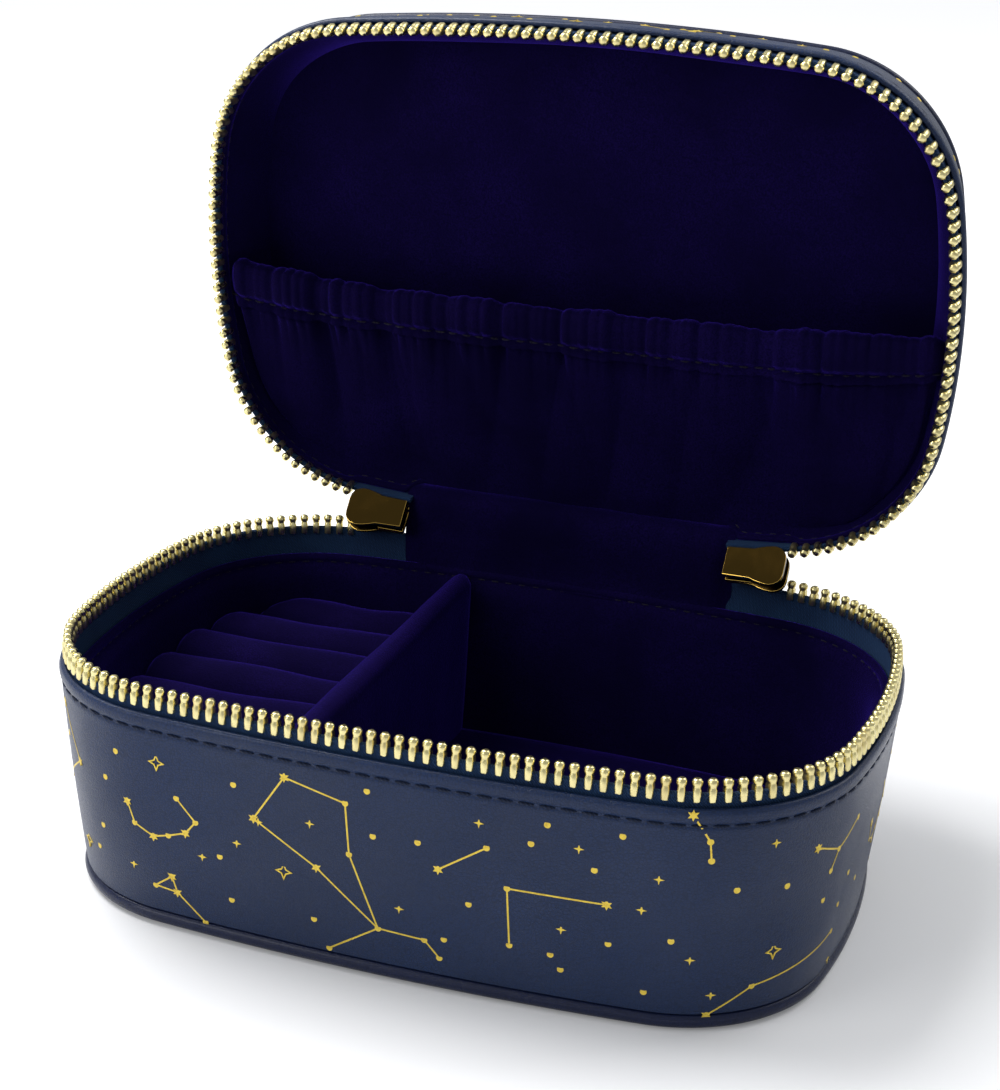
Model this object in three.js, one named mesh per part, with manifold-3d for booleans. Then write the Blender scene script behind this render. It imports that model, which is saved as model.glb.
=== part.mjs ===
// A small zip-around jewelry case: a stiff printed leatherette base and lid, joined at the back by a soft
// hinge strip, closed by a metal zip with two sliders, and lined with velvet.
// Millimetres, +Z up. The origin is the middle of the bottom face, and the mouth of the case faces -Y.
import * as THREE from "three";
import { mergeVertices } from "three/addons/utils/BufferGeometryUtils.js";
import Module from "manifold-3d";

// Plan outline at the rims: four bowed sides with round corners between them.
const CASE_WIDTH = 170;
const CASE_DEPTH = 116;
const CORNER_RADIUS = 36;
const LONG_SIDE_RADIUS = 560;
const SHORT_SIDE_RADIUS = 165;

// Heights, and how far each wall leans in between its rim and its piped edge.
const BASE_HEIGHT = 48;
const LID_HEIGHT = 18.5;
const RIM_GAP = 11.2;
const BASE_LEAN = 4.6;
const LID_LEAN = 3.6;

// Wall layers, from the outside in.
const GAP = 0.3;
const COVER = 1.2;
const TAPE = 0.8;
const BOARD = 2;
const LINING = 1.5;
const PANEL_SKIN = 1;
const PAD = 3;
const PIPING_RADIUS = 1.5;

// Zip, measured from a rim: the tape stands this far above it, and the teeth this far above the tape.
const TAPE_ABOVE_RIM = 2;
const TAPE_BELOW_RIM = 7.5;
const TEETH_TOP = 5.4;
const TEETH_WIDTH = 1.9;
const ZIP_END = 53;

// Hinge: its axis runs along X, and the lid stands open by this angle.
const HINGE_Y = 55.5;
const HINGE_Z = BASE_HEIGHT + RIM_GAP + 0.15;
const LID_ANGLE = THREE.MathUtils.degToRad(83);
const HINGE_STRIP_HALF = 36.4;

// Sliders and their pulls.
const SLIDER_X = 45.2;
const SLIDER_LENGTH = 13.6;
const SLIDER_HEIGHT = 9.2;
const PLATE = 1;
const PLATE_SPACE = 3;
const WIRE = 0.9;
const BAIL_RISE = 1.9;
const LINK_HALF = 1.6;
const LINK_PITCH = 2.7;
const TAB_LENGTH = 19;
const TAB_WIDTH = 6;
const TAB_THICKNESS = 0.9;
const SLIDER_LIFT = 0.4;

// Inside: one divider front to back, and velvet rolls for rings on its left.
const DIVIDER_X = -24;
const DIVIDER_THICKNESS = 6;
const DIVIDER_TOP = 44;
const ROLL_COUNT = 7;
const ROLL_PITCH = 14.2;
const ROLL_WIDTH = 13.8;
const ROLL_BOTTOM = 20.3;
const ROLL_TOP = 35;

// Pocket across the back half of the lid.
const POCKET_MOUTH_Y = 5;
const POCKET_HEM = 8;
const POCKET_DEPTH = 3.1;

const LID_RIM = BASE_HEIGHT + RIM_GAP;
const LID_TOP = LID_RIM + LID_HEIGHT;
const TAPE_INSET = COVER + GAP;
const BOARD_INNER = TAPE_INSET + BOARD;
const LINING_OUTER = BOARD_INNER + GAP;
const LINING_INNER = LINING_OUTER + LINING;

const wasm = await Module();
wasm.setup();

const material = (color, roughness, metalness = 0) =>
  new THREE.MeshStandardMaterial({ color, roughness, metalness });
const leatherette = () => material(0x2b3a57, 0.35);
const welt = () => material(0x16204a, 0.4);
const greyboard = () => material(0x8a8276, 0.9);
const velvet = () => material(0x1a0f5c, 0.95);
const webbing = () => material(0x1d3f73, 0.85);
const brass = () => material(0xc9ab4a, 0.3, 1);
const gilt = () => material(0xd8a021, 0.22, 1);

// ---- The plan outline ------------------------------------------------------------------------------

// Centre of a corner's arc, which touches the long side's arc and the short side's arc from inside.
function cornerCentre() {
  const longY = CASE_DEPTH / 2 - LONG_SIDE_RADIUS;
  const shortX = CASE_WIDTH / 2 - SHORT_SIDE_RADIUS;
  const toLong = LONG_SIDE_RADIUS - CORNER_RADIUS;
  const toShort = SHORT_SIDE_RADIUS - CORNER_RADIUS;
  const apart = Math.hypot(shortX, longY);
  const along = (toLong ** 2 - toShort ** 2 + apart ** 2) / (2 * apart);
  const aside = Math.sqrt(toLong ** 2 - along ** 2);
  const [ux, uy] = [shortX / apart, -longY / apart];
  return [ux * along + uy * aside, longY + uy * along - ux * aside];
}

const [CORNER_X, CORNER_Y] = cornerCentre();
const LONG_HALF_ANGLE = Math.atan2(CORNER_X, CORNER_Y - CASE_DEPTH / 2 + LONG_SIDE_RADIUS);
const SHORT_HALF_ANGLE = Math.atan2(CORNER_Y, CORNER_X - CASE_WIDTH / 2 + SHORT_SIDE_RADIUS);

// Points of the outline, moved in by inset, anticlockwise from the middle of the back. A gap leaves out
// the stretch between x = -gap and x = gap, which ends on the two back corners.
function outline(inset, gap = 0) {
  const points = [];
  const arc = (x, y, radius, from, to, steps) => {
    for (let i = 0; i < steps; i++) {
      const angle = from + ((to - from) * i) / steps;
      const r = radius - inset;
      points.push([x + r * Math.cos(angle), y + r * Math.sin(angle)]);
    }
  };
  const [right, up] = [CASE_WIDTH / 2 - SHORT_SIDE_RADIUS, CASE_DEPTH / 2 - LONG_SIDE_RADIUS];
  const [a, b, quarter] = [LONG_HALF_ANGLE, SHORT_HALF_ANGLE, Math.PI / 2];
  const start = gap ? Math.asin((gap - CORNER_X) / CORNER_RADIUS) : a;
  if (!gap) arc(0, up, LONG_SIDE_RADIUS, quarter, quarter + a, 2);
  arc(-CORNER_X, CORNER_Y, CORNER_RADIUS, quarter + start, 2 * quarter - b, 6);
  arc(-right, 0, SHORT_SIDE_RADIUS, 2 * quarter - b, 2 * quarter + b, 3);
  arc(-CORNER_X, -CORNER_Y, CORNER_RADIUS, 2 * quarter + b, 3 * quarter - a, 6);
  arc(0, -up, LONG_SIDE_RADIUS, 3 * quarter - a, 3 * quarter + a, 4);
  arc(CORNER_X, -CORNER_Y, CORNER_RADIUS, 3 * quarter + a, 4 * quarter - b, 6);
  arc(right, 0, SHORT_SIDE_RADIUS, -b, b, 3);
  arc(CORNER_X, CORNER_Y, CORNER_RADIUS, b, quarter - start, 6);
  if (gap) arc(CORNER_X, CORNER_Y, CORNER_RADIUS, quarter - start, quarter, 1);
  else arc(0, up, LONG_SIDE_RADIUS, quarter - a, quarter, 2);
  return points;
}

// ---- Solids ----------------------------------------------------------------------------------------

function geometryFrom(vertices, triangles) {
  const geometry = new THREE.BufferGeometry();
  geometry.setAttribute("position", new THREE.Float32BufferAttribute(vertices.flat(), 3));
  geometry.setIndex(triangles.flat());
  return geometry;
}

// A wall that follows the outline, with a cross-section of [inset, z] points. A gap opens it at the back.
function wall(section, gap = 0) {
  const clockwise = THREE.ShapeUtils.area(section.map(([i, z]) => ({ x: i, y: z }))) < 0;
  const profile = clockwise ? [...section].reverse() : section;
  const columns = profile.map(([inset]) => outline(inset, gap));
  const [count, deep] = [columns[0].length, profile.length];
  const vertices = [];
  for (let i = 0; i < count; i++) {
    profile.forEach(([, z], j) => vertices.push([...columns[j][i], z]));
  }
  const triangles = [];
  for (let i = 0; i < (gap ? count - 1 : count); i++) {
    const [here, next] = [i * deep, ((i + 1) % count) * deep];
    for (let j = 0; j < deep; j++) {
      const k = (j + 1) % deep;
      triangles.push([here + j, here + k, next + k], [here + j, next + k, next + j]);
    }
  }
  if (gap) {
    const last = (count - 1) * deep;
    const flat = profile.map(([inset, z]) => new THREE.Vector2(inset, z));
    for (const [p, q, r] of THREE.ShapeUtils.triangulateShape(flat, [])) {
      triangles.push([p, r, q], [last + p, last + q, last + r]);
    }
  }
  return geometryFrom(vertices, triangles);
}

// A solid stack of outlines, given as [inset, z] from the bottom up.
function stack(levels) {
  const rings = levels.map(([inset, z]) => outline(inset).map(([x, y]) => [x, y, z]));
  const count = rings[0].length;
  const triangles = [];
  for (let level = 0; level + 1 < rings.length; level++) {
    for (let i = 0; i < count; i++) {
      const [a, b] = [level * count + i, level * count + ((i + 1) % count)];
      triangles.push([a, b, b + count], [a, b + count, a + count]);
    }
  }
  const top = (rings.length - 1) * count;
  for (let i = 1; i + 1 < count; i++) {
    triangles.push([0, i + 1, i], [top, top + i, top + i + 1]);
  }
  return geometryFrom(rings.flat(), triangles);
}

// A flat panel in the shape of the outline.
const slab = (inset, from, to) => stack([[inset, from], [inset, to]]);

function box(from, to) {
  const size = from.map((low, i) => to[i] - low);
  const geometry = new THREE.BoxGeometry(...size);
  return geometry.translate(...from.map((low, i) => low + size[i] / 2));
}

function solidOf(geometry) {
  const bare = geometry.clone();
  bare.deleteAttribute("normal");
  bare.deleteAttribute("uv");
  const merged = mergeVertices(bare, 1e-4);
  const mesh = new wasm.Mesh({
    numProp: 3,
    vertProperties: merged.attributes.position.array,
    triVerts: new Uint32Array(merged.index.array),
  });
  return new wasm.Manifold(mesh);
}

function geometryOf(solid) {
  const { vertProperties, triVerts } = solid.getMesh();
  const geometry = new THREE.BufferGeometry();
  geometry.setAttribute("position", new THREE.BufferAttribute(vertProperties, 3));
  return geometry.setIndex(new THREE.BufferAttribute(triVerts, 1));
}

const common = (a, b) => geometryOf(solidOf(a).intersect(solidOf(b)));
const joined = (first, ...rest) =>
  geometryOf(rest.reduce((sum, next) => sum.add(solidOf(next)), solidOf(first)));

// ---- Shells: what the base and the lid have in common ----------------------------------------------

// Each shell has a rim, a height and a lean. at() turns an inset and a distance from the rim into a
// point of a cross-section; the distance is negative on the zip's side.
function shell(rim, height, lean, direction) {
  const at = (inset, from) => [inset + (lean * Math.max(from, 0)) / height, rim + direction * from];
  const edge = height - 2 * PIPING_RADIUS - 0.7;
  const boardTop = TAPE_BELOW_RIM + GAP;
  const piping = Array.from({ length: 8 }, (_, i) => {
    const angle = (i + 0.5) * (Math.PI / 4);
    const inset = 0.8 + PIPING_RADIUS * Math.cos(angle);
    const from = height - PIPING_RADIUS - 0.4 + PIPING_RADIUS * Math.sin(angle);
    return at(inset, from);
  });
  const tapeInner = TAPE_INSET + TAPE;
  const linen = tapeInner + GAP;
  const teethMiddle = TAPE_INSET + TAPE / 2;
  const [teethOut, teethIn] = [teethMiddle - TEETH_WIDTH / 2, teethMiddle + TEETH_WIDTH / 2];
  const teethFoot = -TAPE_ABOVE_RIM - GAP;
  return {
    at,
    cover: [at(0, edge), at(0, 0.9), at(0.35, 0.2), at(0.8, 0), at(COVER, 0.5), at(COVER, edge)],
    board: [
      at(TAPE_INSET, edge),
      at(TAPE_INSET, boardTop),
      at(BOARD_INNER, boardTop),
      at(BOARD_INNER, edge),
    ],
    lining: (foot) => [
      at(LINING_OUTER, foot),
      at(LINING_OUTER, boardTop - 0.2),
      at(linen, boardTop - 1.2),
      at(linen, 3.6),
      at(linen + LINING, 3.6),
      at(linen + LINING, boardTop - 1.4),
      at(LINING_INNER, boardTop - 0.2),
      at(LINING_INNER, foot),
    ],
    tape: [
      at(TAPE_INSET, TAPE_BELOW_RIM),
      at(TAPE_INSET, -TAPE_ABOVE_RIM),
      at(tapeInner, -TAPE_ABOVE_RIM),
      at(tapeInner, TAPE_BELOW_RIM),
    ],
    teeth: [
      at(teethOut, teethFoot),
      at(teethOut, -TEETH_TOP),
      at(teethIn, -TEETH_TOP),
      at(teethIn, teethFoot),
    ],
    piping,
    panelInset: lean + 0.8 + PIPING_RADIUS + GAP,
  };
}

const baseShell = shell(BASE_HEIGHT, BASE_HEIGHT, BASE_LEAN, -1);
const lidShell = shell(LID_RIM, LID_HEIGHT, LID_LEAN, 1);

const part = new THREE.Group();
const base = new THREE.Group();
part.add(base);

// A group that turns about the hinge's axis, whose contents are placed as they lie when it is closed.
function hinged(angle) {
  const turned = new THREE.Group();
  turned.position.set(0, HINGE_Y, HINGE_Z);
  turned.rotation.x = -angle;
  const contents = new THREE.Group();
  contents.position.set(0, -HINGE_Y, -HINGE_Z);
  turned.add(contents);
  part.add(turned);
  return contents;
}

function add(group, name, geometry, look) {
  const mesh = new THREE.Mesh(geometry, look);
  mesh.name = name;
  group.add(mesh);
}

// ---- Base ------------------------------------------------------------------------------------------

const boardTopZ = PANEL_SKIN + GAP + BOARD;
const floorTop = boardTopZ + GAP + PAD;
const insideFoot = floorTop + GAP;

add(base, "bottom_cover", slab(baseShell.panelInset, 0, PANEL_SKIN), leatherette());
add(base, "bottom_board", slab(baseShell.panelInset, PANEL_SKIN + GAP, boardTopZ), greyboard());
add(base, "bottom_piping", wall(baseShell.piping), welt());
add(base, "base_wall_cover", wall(baseShell.cover), leatherette());
add(base, "base_wall_board", wall(baseShell.board), greyboard());
add(base, "base_wall_lining", wall(baseShell.lining(BASE_HEIGHT - insideFoot)), velvet());

const padInset = BASE_LEAN + BOARD_INNER + GAP;
add(base, "base_floor_pad", slab(padInset, boardTopZ + GAP, floorTop), velvet());
add(base, "base_zip_tape", wall(baseShell.tape, ZIP_END), webbing());
add(base, "base_zip_teeth", wall(baseShell.teeth, ZIP_END), brass());

// The room inside the wall lining, which trims the divider and the ring pad at their ends.
const roomInset = LINING_INNER + GAP;
const room = stack([
  baseShell.at(roomInset, BASE_HEIGHT - insideFoot),
  baseShell.at(roomInset, BASE_HEIGHT - DIVIDER_TOP + 5),
  baseShell.at(roomInset, BASE_HEIGHT - DIVIDER_TOP),
]);

function dividerBlank() {
  const half = DIVIDER_THICKNESS / 2;
  const shape = new THREE.Shape();
  shape.moveTo(-half, insideFoot);
  shape.lineTo(half, insideFoot);
  shape.lineTo(half, DIVIDER_TOP - half);
  shape.absarc(0, DIVIDER_TOP - half, half, 0, Math.PI);
  const blank = new THREE.ExtrudeGeometry(shape, {
    depth: CASE_DEPTH,
    bevelEnabled: false,
    curveSegments: 6,
  });
  return blank.rotateX(Math.PI / 2).translate(DIVIDER_X, CASE_DEPTH / 2, 0);
}
add(base, "divider", common(dividerBlank(), room), velvet());

const leftOfDivider = DIVIDER_X - DIVIDER_THICKNESS / 2 - GAP;
const padBlank = box(
  [-CASE_WIDTH / 2, -CASE_DEPTH / 2, insideFoot],
  [leftOfDivider, CASE_DEPTH / 2, ROLL_BOTTOM - GAP],
);
add(base, "ring_pad_base", common(padBlank, room), velvet());

function rollBlank(y) {
  const half = ROLL_WIDTH / 2;
  const shoulder = ROLL_TOP - 6;
  const shape = new THREE.Shape();
  shape.moveTo(-half, ROLL_BOTTOM);
  shape.lineTo(half, ROLL_BOTTOM);
  shape.lineTo(half, shoulder);
  shape.absellipse(0, shoulder, half, ROLL_TOP - shoulder, 0, Math.PI);
  const length = CASE_WIDTH / 2 + leftOfDivider;
  const blank = new THREE.ExtrudeGeometry(shape, {
    depth: length,
    bevelEnabled: false,
    curveSegments: 8,
  });
  return blank
    .rotateX(Math.PI / 2)
    .rotateZ(Math.PI / 2)
    .translate(-CASE_WIDTH / 2, y, 0);
}
for (let i = 0; i < ROLL_COUNT; i++) {
  const y = (Math.floor(ROLL_COUNT / 2) - i) * ROLL_PITCH;
  add(base, `ring_roll_${i + 1}`, common(rollBlank(y), room), velvet());
}

// ---- Hinge strips, standing on the back of the base ------------------------------------------------

function backStrip(outer, thickness, from, to) {
  const ring = wall([
    [outer, from],
    [outer, to],
    [outer + thickness, to],
    [outer + thickness, from],
  ]);
  const stretch = box([-HINGE_STRIP_HALF, 0, 0], [HINGE_STRIP_HALF, CASE_DEPTH, LID_TOP]);
  return common(ring, stretch);
}
add(base, "hinge_outer_strip", backStrip(0.2, PANEL_SKIN, BASE_HEIGHT + GAP, 53), leatherette());
add(base, "hinge_inner_cover", backStrip(TAPE_INSET + TAPE + GAP, 1.2, 44.7, 55), velvet());

// ---- Lid, placed as it lies when it is closed ------------------------------------------------------

const lid = hinged(LID_ANGLE);
const lidBoardFoot = LID_TOP - PANEL_SKIN - GAP - BOARD;
const lidPadFoot = lidBoardFoot - GAP - BOARD;
const lidPadInset = LID_LEAN + BOARD_INNER + GAP;

add(lid, "lid_top_cover", slab(lidShell.panelInset, LID_TOP - PANEL_SKIN, LID_TOP), leatherette());
add(lid, "lid_top_board", slab(lidShell.panelInset, lidBoardFoot, lidBoardFoot + BOARD), greyboard());
add(lid, "lid_piping", wall(lidShell.piping), welt());
add(lid, "lid_wall_cover", wall(lidShell.cover), leatherette());
add(lid, "lid_wall_board", wall(lidShell.board), greyboard());
add(lid, "lid_wall_lining", wall(lidShell.lining(lidPadFoot - GAP - LID_RIM)), velvet());
add(lid, "lid_top_pad", slab(lidPadInset, lidPadFoot, lidPadFoot + BOARD), velvet());
add(lid, "lid_zip_tape", wall(lidShell.tape, ZIP_END), webbing());
add(lid, "lid_zip_teeth", wall(lidShell.teeth, ZIP_END), brass());

// The pocket is a velvet sheet across the lid just inside its rim, with an elasticated hem at its mouth.
const pocketZ = LID_RIM + POCKET_DEPTH;
const pocketInset = COVER + GAP + TAPE + GAP + LINING + GAP + 1;
function acrossLid(fromY, toY, fromZ, toZ) {
  const blank = box([-CASE_WIDTH, fromY, fromZ], [CASE_WIDTH, toY, toZ]);
  return common(blank, slab(pocketInset, fromZ - 1, toZ + 1));
}
const hemEnd = POCKET_MOUTH_Y + POCKET_HEM;
add(lid, "pocket_hem", acrossLid(POCKET_MOUTH_Y, hemEnd, pocketZ - 0.6, pocketZ + 1.8), velvet());
add(lid, "pocket_panel", acrossLid(hemEnd + GAP, CASE_DEPTH / 2, pocketZ, pocketZ + 1.2), velvet());

// ---- Sliders ---------------------------------------------------------------------------------------

// A slider's own axes: X along the zip, away from the hinge; Y out of the case; Z up the wall.
function sliderPlate(fromY, toY) {
  const [half, tall] = [SLIDER_LENGTH / 2, SLIDER_HEIGHT / 2];
  const narrow = tall * 0.72;
  const shape = new THREE.Shape();
  shape.moveTo(-half, -narrow);
  shape.lineTo(-half * 0.1, -narrow * 1.06);
  shape.quadraticCurveTo(half * 0.3, -tall, half * 0.6, -tall);
  shape.quadraticCurveTo(half, -tall * 0.9, half, -tall * 0.35);
  shape.lineTo(half, tall * 0.35);
  shape.quadraticCurveTo(half, tall * 0.9, half * 0.6, tall);
  shape.quadraticCurveTo(half * 0.3, tall, -half * 0.1, narrow * 1.06);
  shape.lineTo(-half, narrow);
  const plate = new THREE.ExtrudeGeometry(shape, {
    depth: toY - fromY,
    bevelEnabled: false,
    curveSegments: 4,
  });
  return plate.rotateX(Math.PI / 2).translate(0, toY, 0);
}

function sliderBody() {
  const inner = PLATE_SPACE / 2;
  const outer = inner + PLATE;
  const [half, narrow] = [SLIDER_LENGTH / 2, (SLIDER_HEIGHT / 2) * 0.72];
  const flanges = [-1, 1].flatMap((across) =>
    [-1, 1].map((up) => {
      const [y0, y1] = [0.75, inner + 0.1].map((y) => across * y);
      const [z0, z1] = [narrow - 0.9, narrow].map((z) => up * z);
      return box(
        [-half, Math.min(y0, y1), Math.min(z0, z1)],
        [-half * 0.1, Math.max(y0, y1), Math.max(z0, z1)],
      );
    }),
  );
  const post = box([half * 0.4, -inner - 0.1, -0.9], [half * 0.8, inner + 0.1, 0.9]);
  const [reach, rise] = [2.8, outer + BAIL_RISE + WIRE];
  const legs = [-1, 1].map((end) => {
    const [x0, x1] = [end * reach, end * (reach - WIRE)];
    return box([Math.min(x0, x1), outer - 0.1, -WIRE / 2], [Math.max(x0, x1), rise, WIRE / 2]);
  });
  const bar = box([-reach, rise - WIRE, -WIRE / 2], [reach, rise, WIRE / 2]);
  return joined(sliderPlate(-outer, -inner), sliderPlate(inner, outer), post, bar, ...legs, ...flanges);
}

// Distance from the slider's middle out to the bail's bar, and from there to where the tab hangs.
const BAIL_REACH = PLATE_SPACE / 2 + PLATE + BAIL_RISE + WIRE / 2;

// A closed wire link round the bail's bar, lying in the plane of Y and Z.
function pullLink() {
  const [near, far] = [-1.1, LINK_PITCH];
  const [high, low] = [LINK_HALF, LINK_HALF - WIRE];
  const [x, y] = [WIRE / 2, WIRE / 2];
  const ends = [near, far].map((at) => box([-x, at - y, -high], [x, at + y, high]));
  const sides = [1, -1].map((up) => {
    const [z0, z1] = [Math.min(up * low, up * high), Math.max(up * low, up * high)];
    return box([-x, near - y, z0], [x, far + y, z1]);
  });
  return joined(...ends, ...sides).translate(0, BAIL_REACH, 0);
}

// A flat pull tab with an eye round the link's far end.
function pullTab() {
  const [eye, half, round] = [1, TAB_WIDTH / 2, 2.1];
  const shape = new THREE.Shape();
  shape.absarc(0, 0, round, Math.PI, 2 * Math.PI);
  shape.lineTo(half, 6);
  shape.lineTo(half, TAB_LENGTH - half);
  shape.absarc(0, TAB_LENGTH - half, half, 0, Math.PI);
  shape.lineTo(-half, 6);
  const hole = new THREE.Path();
  hole.absarc(0, 0, eye, 0, 2 * Math.PI);
  shape.holes.push(hole);
  const tab = new THREE.ExtrudeGeometry(shape, {
    depth: TAB_THICKNESS,
    bevelEnabled: false,
    curveSegments: 6,
  });
  return tab.translate(0, BAIL_REACH + LINK_PITCH, -TAB_THICKNESS / 2);
}

for (const [side, sign] of [["left", -1], ["right", 1]]) {
  const lean = hinged(LID_ANGLE / 2);
  const slider = new THREE.Group();
  const along = Math.asin(SLIDER_X / LONG_SIDE_RADIUS);
  const out = LONG_SIDE_RADIUS - TAPE_INSET - TAPE / 2;
  const y = CASE_DEPTH / 2 - LONG_SIDE_RADIUS + out * Math.cos(along);
  slider.position.set(sign * SLIDER_X, y, BASE_HEIGHT + RIM_GAP / 2 + SLIDER_LIFT);
  slider.rotation.z = -sign * along;
  lean.add(slider);
  const body = sliderBody();
  add(slider, `${side}_slider`, sign < 0 ? body.rotateY(Math.PI) : body, gilt());
  add(slider, `${side}_pull_link`, pullLink(), gilt());
  add(slider, `${side}_pull_tab`, pullTab(), gilt());
}

export default part;
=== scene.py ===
"""A zip-around jewelry case, dressed in leatherette, velvet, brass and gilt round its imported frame.

Lengths are in metres, +Z up. The origin is the middle of the bottom face and the mouth's front is at -Y.
"""

import math

import bmesh
import bpy
import numpy as np
from bpy.props import FloatProperty, FloatVectorProperty, IntProperty, PointerProperty
from bpy.types import Operator, Panel, PropertyGroup
from mathutils import Matrix, Vector


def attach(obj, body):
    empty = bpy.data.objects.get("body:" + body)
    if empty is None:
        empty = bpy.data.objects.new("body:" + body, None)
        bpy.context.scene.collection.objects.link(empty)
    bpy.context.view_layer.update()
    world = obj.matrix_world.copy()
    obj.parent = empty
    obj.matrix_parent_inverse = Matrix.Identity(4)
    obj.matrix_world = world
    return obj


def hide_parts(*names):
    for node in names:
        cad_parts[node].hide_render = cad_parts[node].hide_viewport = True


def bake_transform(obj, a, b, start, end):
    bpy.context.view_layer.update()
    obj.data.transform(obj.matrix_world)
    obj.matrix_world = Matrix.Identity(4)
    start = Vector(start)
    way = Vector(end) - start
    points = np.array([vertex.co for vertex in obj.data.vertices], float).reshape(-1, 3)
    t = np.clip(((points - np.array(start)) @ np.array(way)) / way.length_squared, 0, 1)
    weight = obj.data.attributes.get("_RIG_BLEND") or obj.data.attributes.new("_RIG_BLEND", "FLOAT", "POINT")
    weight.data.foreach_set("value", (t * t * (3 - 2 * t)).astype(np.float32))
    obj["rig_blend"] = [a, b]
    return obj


bl_info = {
    "name": "Jewelry Case",
    "version": (1, 0, 0),
    "blender": (4, 5, 0),
    "location": "View3D > Sidebar > Jewelry Case",
    "description": "Builds a zip-around jewelry case piece by piece on its packed frame",
    "category": "Add Mesh",
}

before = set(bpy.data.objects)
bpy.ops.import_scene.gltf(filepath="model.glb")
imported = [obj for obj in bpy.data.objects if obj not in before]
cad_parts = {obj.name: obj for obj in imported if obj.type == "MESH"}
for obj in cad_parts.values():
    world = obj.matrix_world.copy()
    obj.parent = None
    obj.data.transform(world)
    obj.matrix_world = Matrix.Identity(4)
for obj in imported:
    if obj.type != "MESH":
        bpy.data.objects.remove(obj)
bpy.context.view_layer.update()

MM = 0.001

# The layers of the case, in millimetres. An inset is measured inwards from the outline of the rims.
COVER = 1.2  # thickness of the leatherette
TAPE = 0.8  # thickness of the zip tape
TAPE_INSET = 1.5  # outer face of the zip tape
ZIP_INSET = TAPE_INSET + TAPE / 2  # middle of the teeth
BOARD_FACE = 3.8  # inner face of the greyboard
LINING = 1.5  # thickness of the velvet
ROOM_INSET = BOARD_FACE + LINING + 0.3  # where the pieces inside the base stop
PIPING = 1.5  # radius of the piping
PIPING_INSET = 0.8  # middle of the piping
FLOOR_Z = 6.6  # height of the floor pad's top
WALL_FOOT = 3.7  # from the foot of a wall to the table, or to the top of the lid
FACE_TOP = 4.4  # from the rim to where the wall begins to swell out

# The rolled rim, as (inset, distance from the rim): up the face, over the sewn groove, to the top.
RIM_PROFILE = [
    (0.0, 4.5), (0.06, 4.05), (0.24, 3.72), (0.34, 3.4), (0.24, 3.08), (0.02, 2.8), (-0.14, 2.35),
    (-0.2, 1.8), (-0.14, 1.15), (0.04, 0.6),
]
# The panels inside the piping, as (share of their outline, height), from the edge to the middle.
BOTTOM_LEVELS = [(0.995, 1.0), (1, 0.7), (0.999, 0.35), (0.995, 0.08), (0.985, 0.0), (0.6, 0.0), (0.25, 0.0)]
TOP_EDGE = [(0.995, -1.0), (1, -0.75), (0.999, -0.4), (0.995, -0.15)]
TOP_CROWN = [(0.98, 0.0), (0.9, 0.16), (0.7, 0.3), (0.4, 0.36), (0.15, 0.38)]


# ---- What a user can change -------------------------------------------------------------------------


def length(name, description, default, **more):
    """A length that a user can change. The default is in millimetres."""
    return FloatProperty(name=name, description=description, default=default * MM, unit="LENGTH", **more)


def colour(name, description, default):
    """A colour that a user can change."""
    return FloatVectorProperty(
        name=name, description=description, default=default, subtype="COLOR", size=3, min=0, max=1
    )


class CaseSizes(PropertyGroup):
    width: length("Width", "Across the rim, left to right", 170)
    depth: length("Depth", "Across the rim, front to back", 116)
    corner_radius: length("Corner radius", "Radius of the plan's corners", 36)
    long_side_radius: length("Long side bow", "Radius of the bowed front and back", 560)
    short_side_radius: length("Short side bow", "Radius of the bowed ends", 165)
    base_height: length("Base height", "From the table to the base's rim", 48)
    lid_height: length("Lid height", "From the lid's rim to its top", 18.5)
    rim_gap: length("Rim gap", "Between the rims when the case is closed", 11.2)
    base_lean: length("Base lean", "How far the base wall comes in towards the bottom", 4.6)
    lid_lean: length("Lid lean", "How far the lid wall comes in towards the top", 3.6)
    hinge_y: length("Hinge depth", "How far back the hinge axis is", 55.5)
    hinge_z: length("Hinge height", "How high the hinge axis is", 59.35)
    lid_angle: FloatProperty(
        name="Lid angle", description="How far the lid stands open", default=math.radians(83), subtype="ANGLE"
    )


class ZipSizes(PropertyGroup):
    pitch: length("Tooth pitch", "From one tooth to the next", 2.77)
    end: length("Zip end", "Distance from the middle of the back at which the teeth stop", 53)
    tape_end: length("Tape end", "Distance from the middle of the back at which the tapes stop", 37.8)
    stitch_pitch: length("Stitch pitch", "From one stitch to the next", 4)
    stitch_drop: length("Stitch drop", "Distance of the stitches from the rim", 3.4)


class VelvetSizes(PropertyGroup):
    divider_x: length("Divider place", "Distance of the divider from the middle", -24)
    divider_thickness: length("Divider thickness", "Across the divider", 6)
    divider_top: length("Divider height", "Top of the divider over the table", 44)
    roll_count: IntProperty(name="Ring rolls", description="How many velvet rolls hold rings", default=7)
    roll_pitch: length("Roll pitch", "From one ring roll to the next", 14.2)
    roll_bottom: length("Roll foot", "Height of the rolls' feet", 20.3)
    pocket_mouth: length("Pocket mouth", "How far back the lid pocket's mouth is", 5)
    pocket_hem: length("Pocket hem", "Height of the elastic casing", 8)


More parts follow.
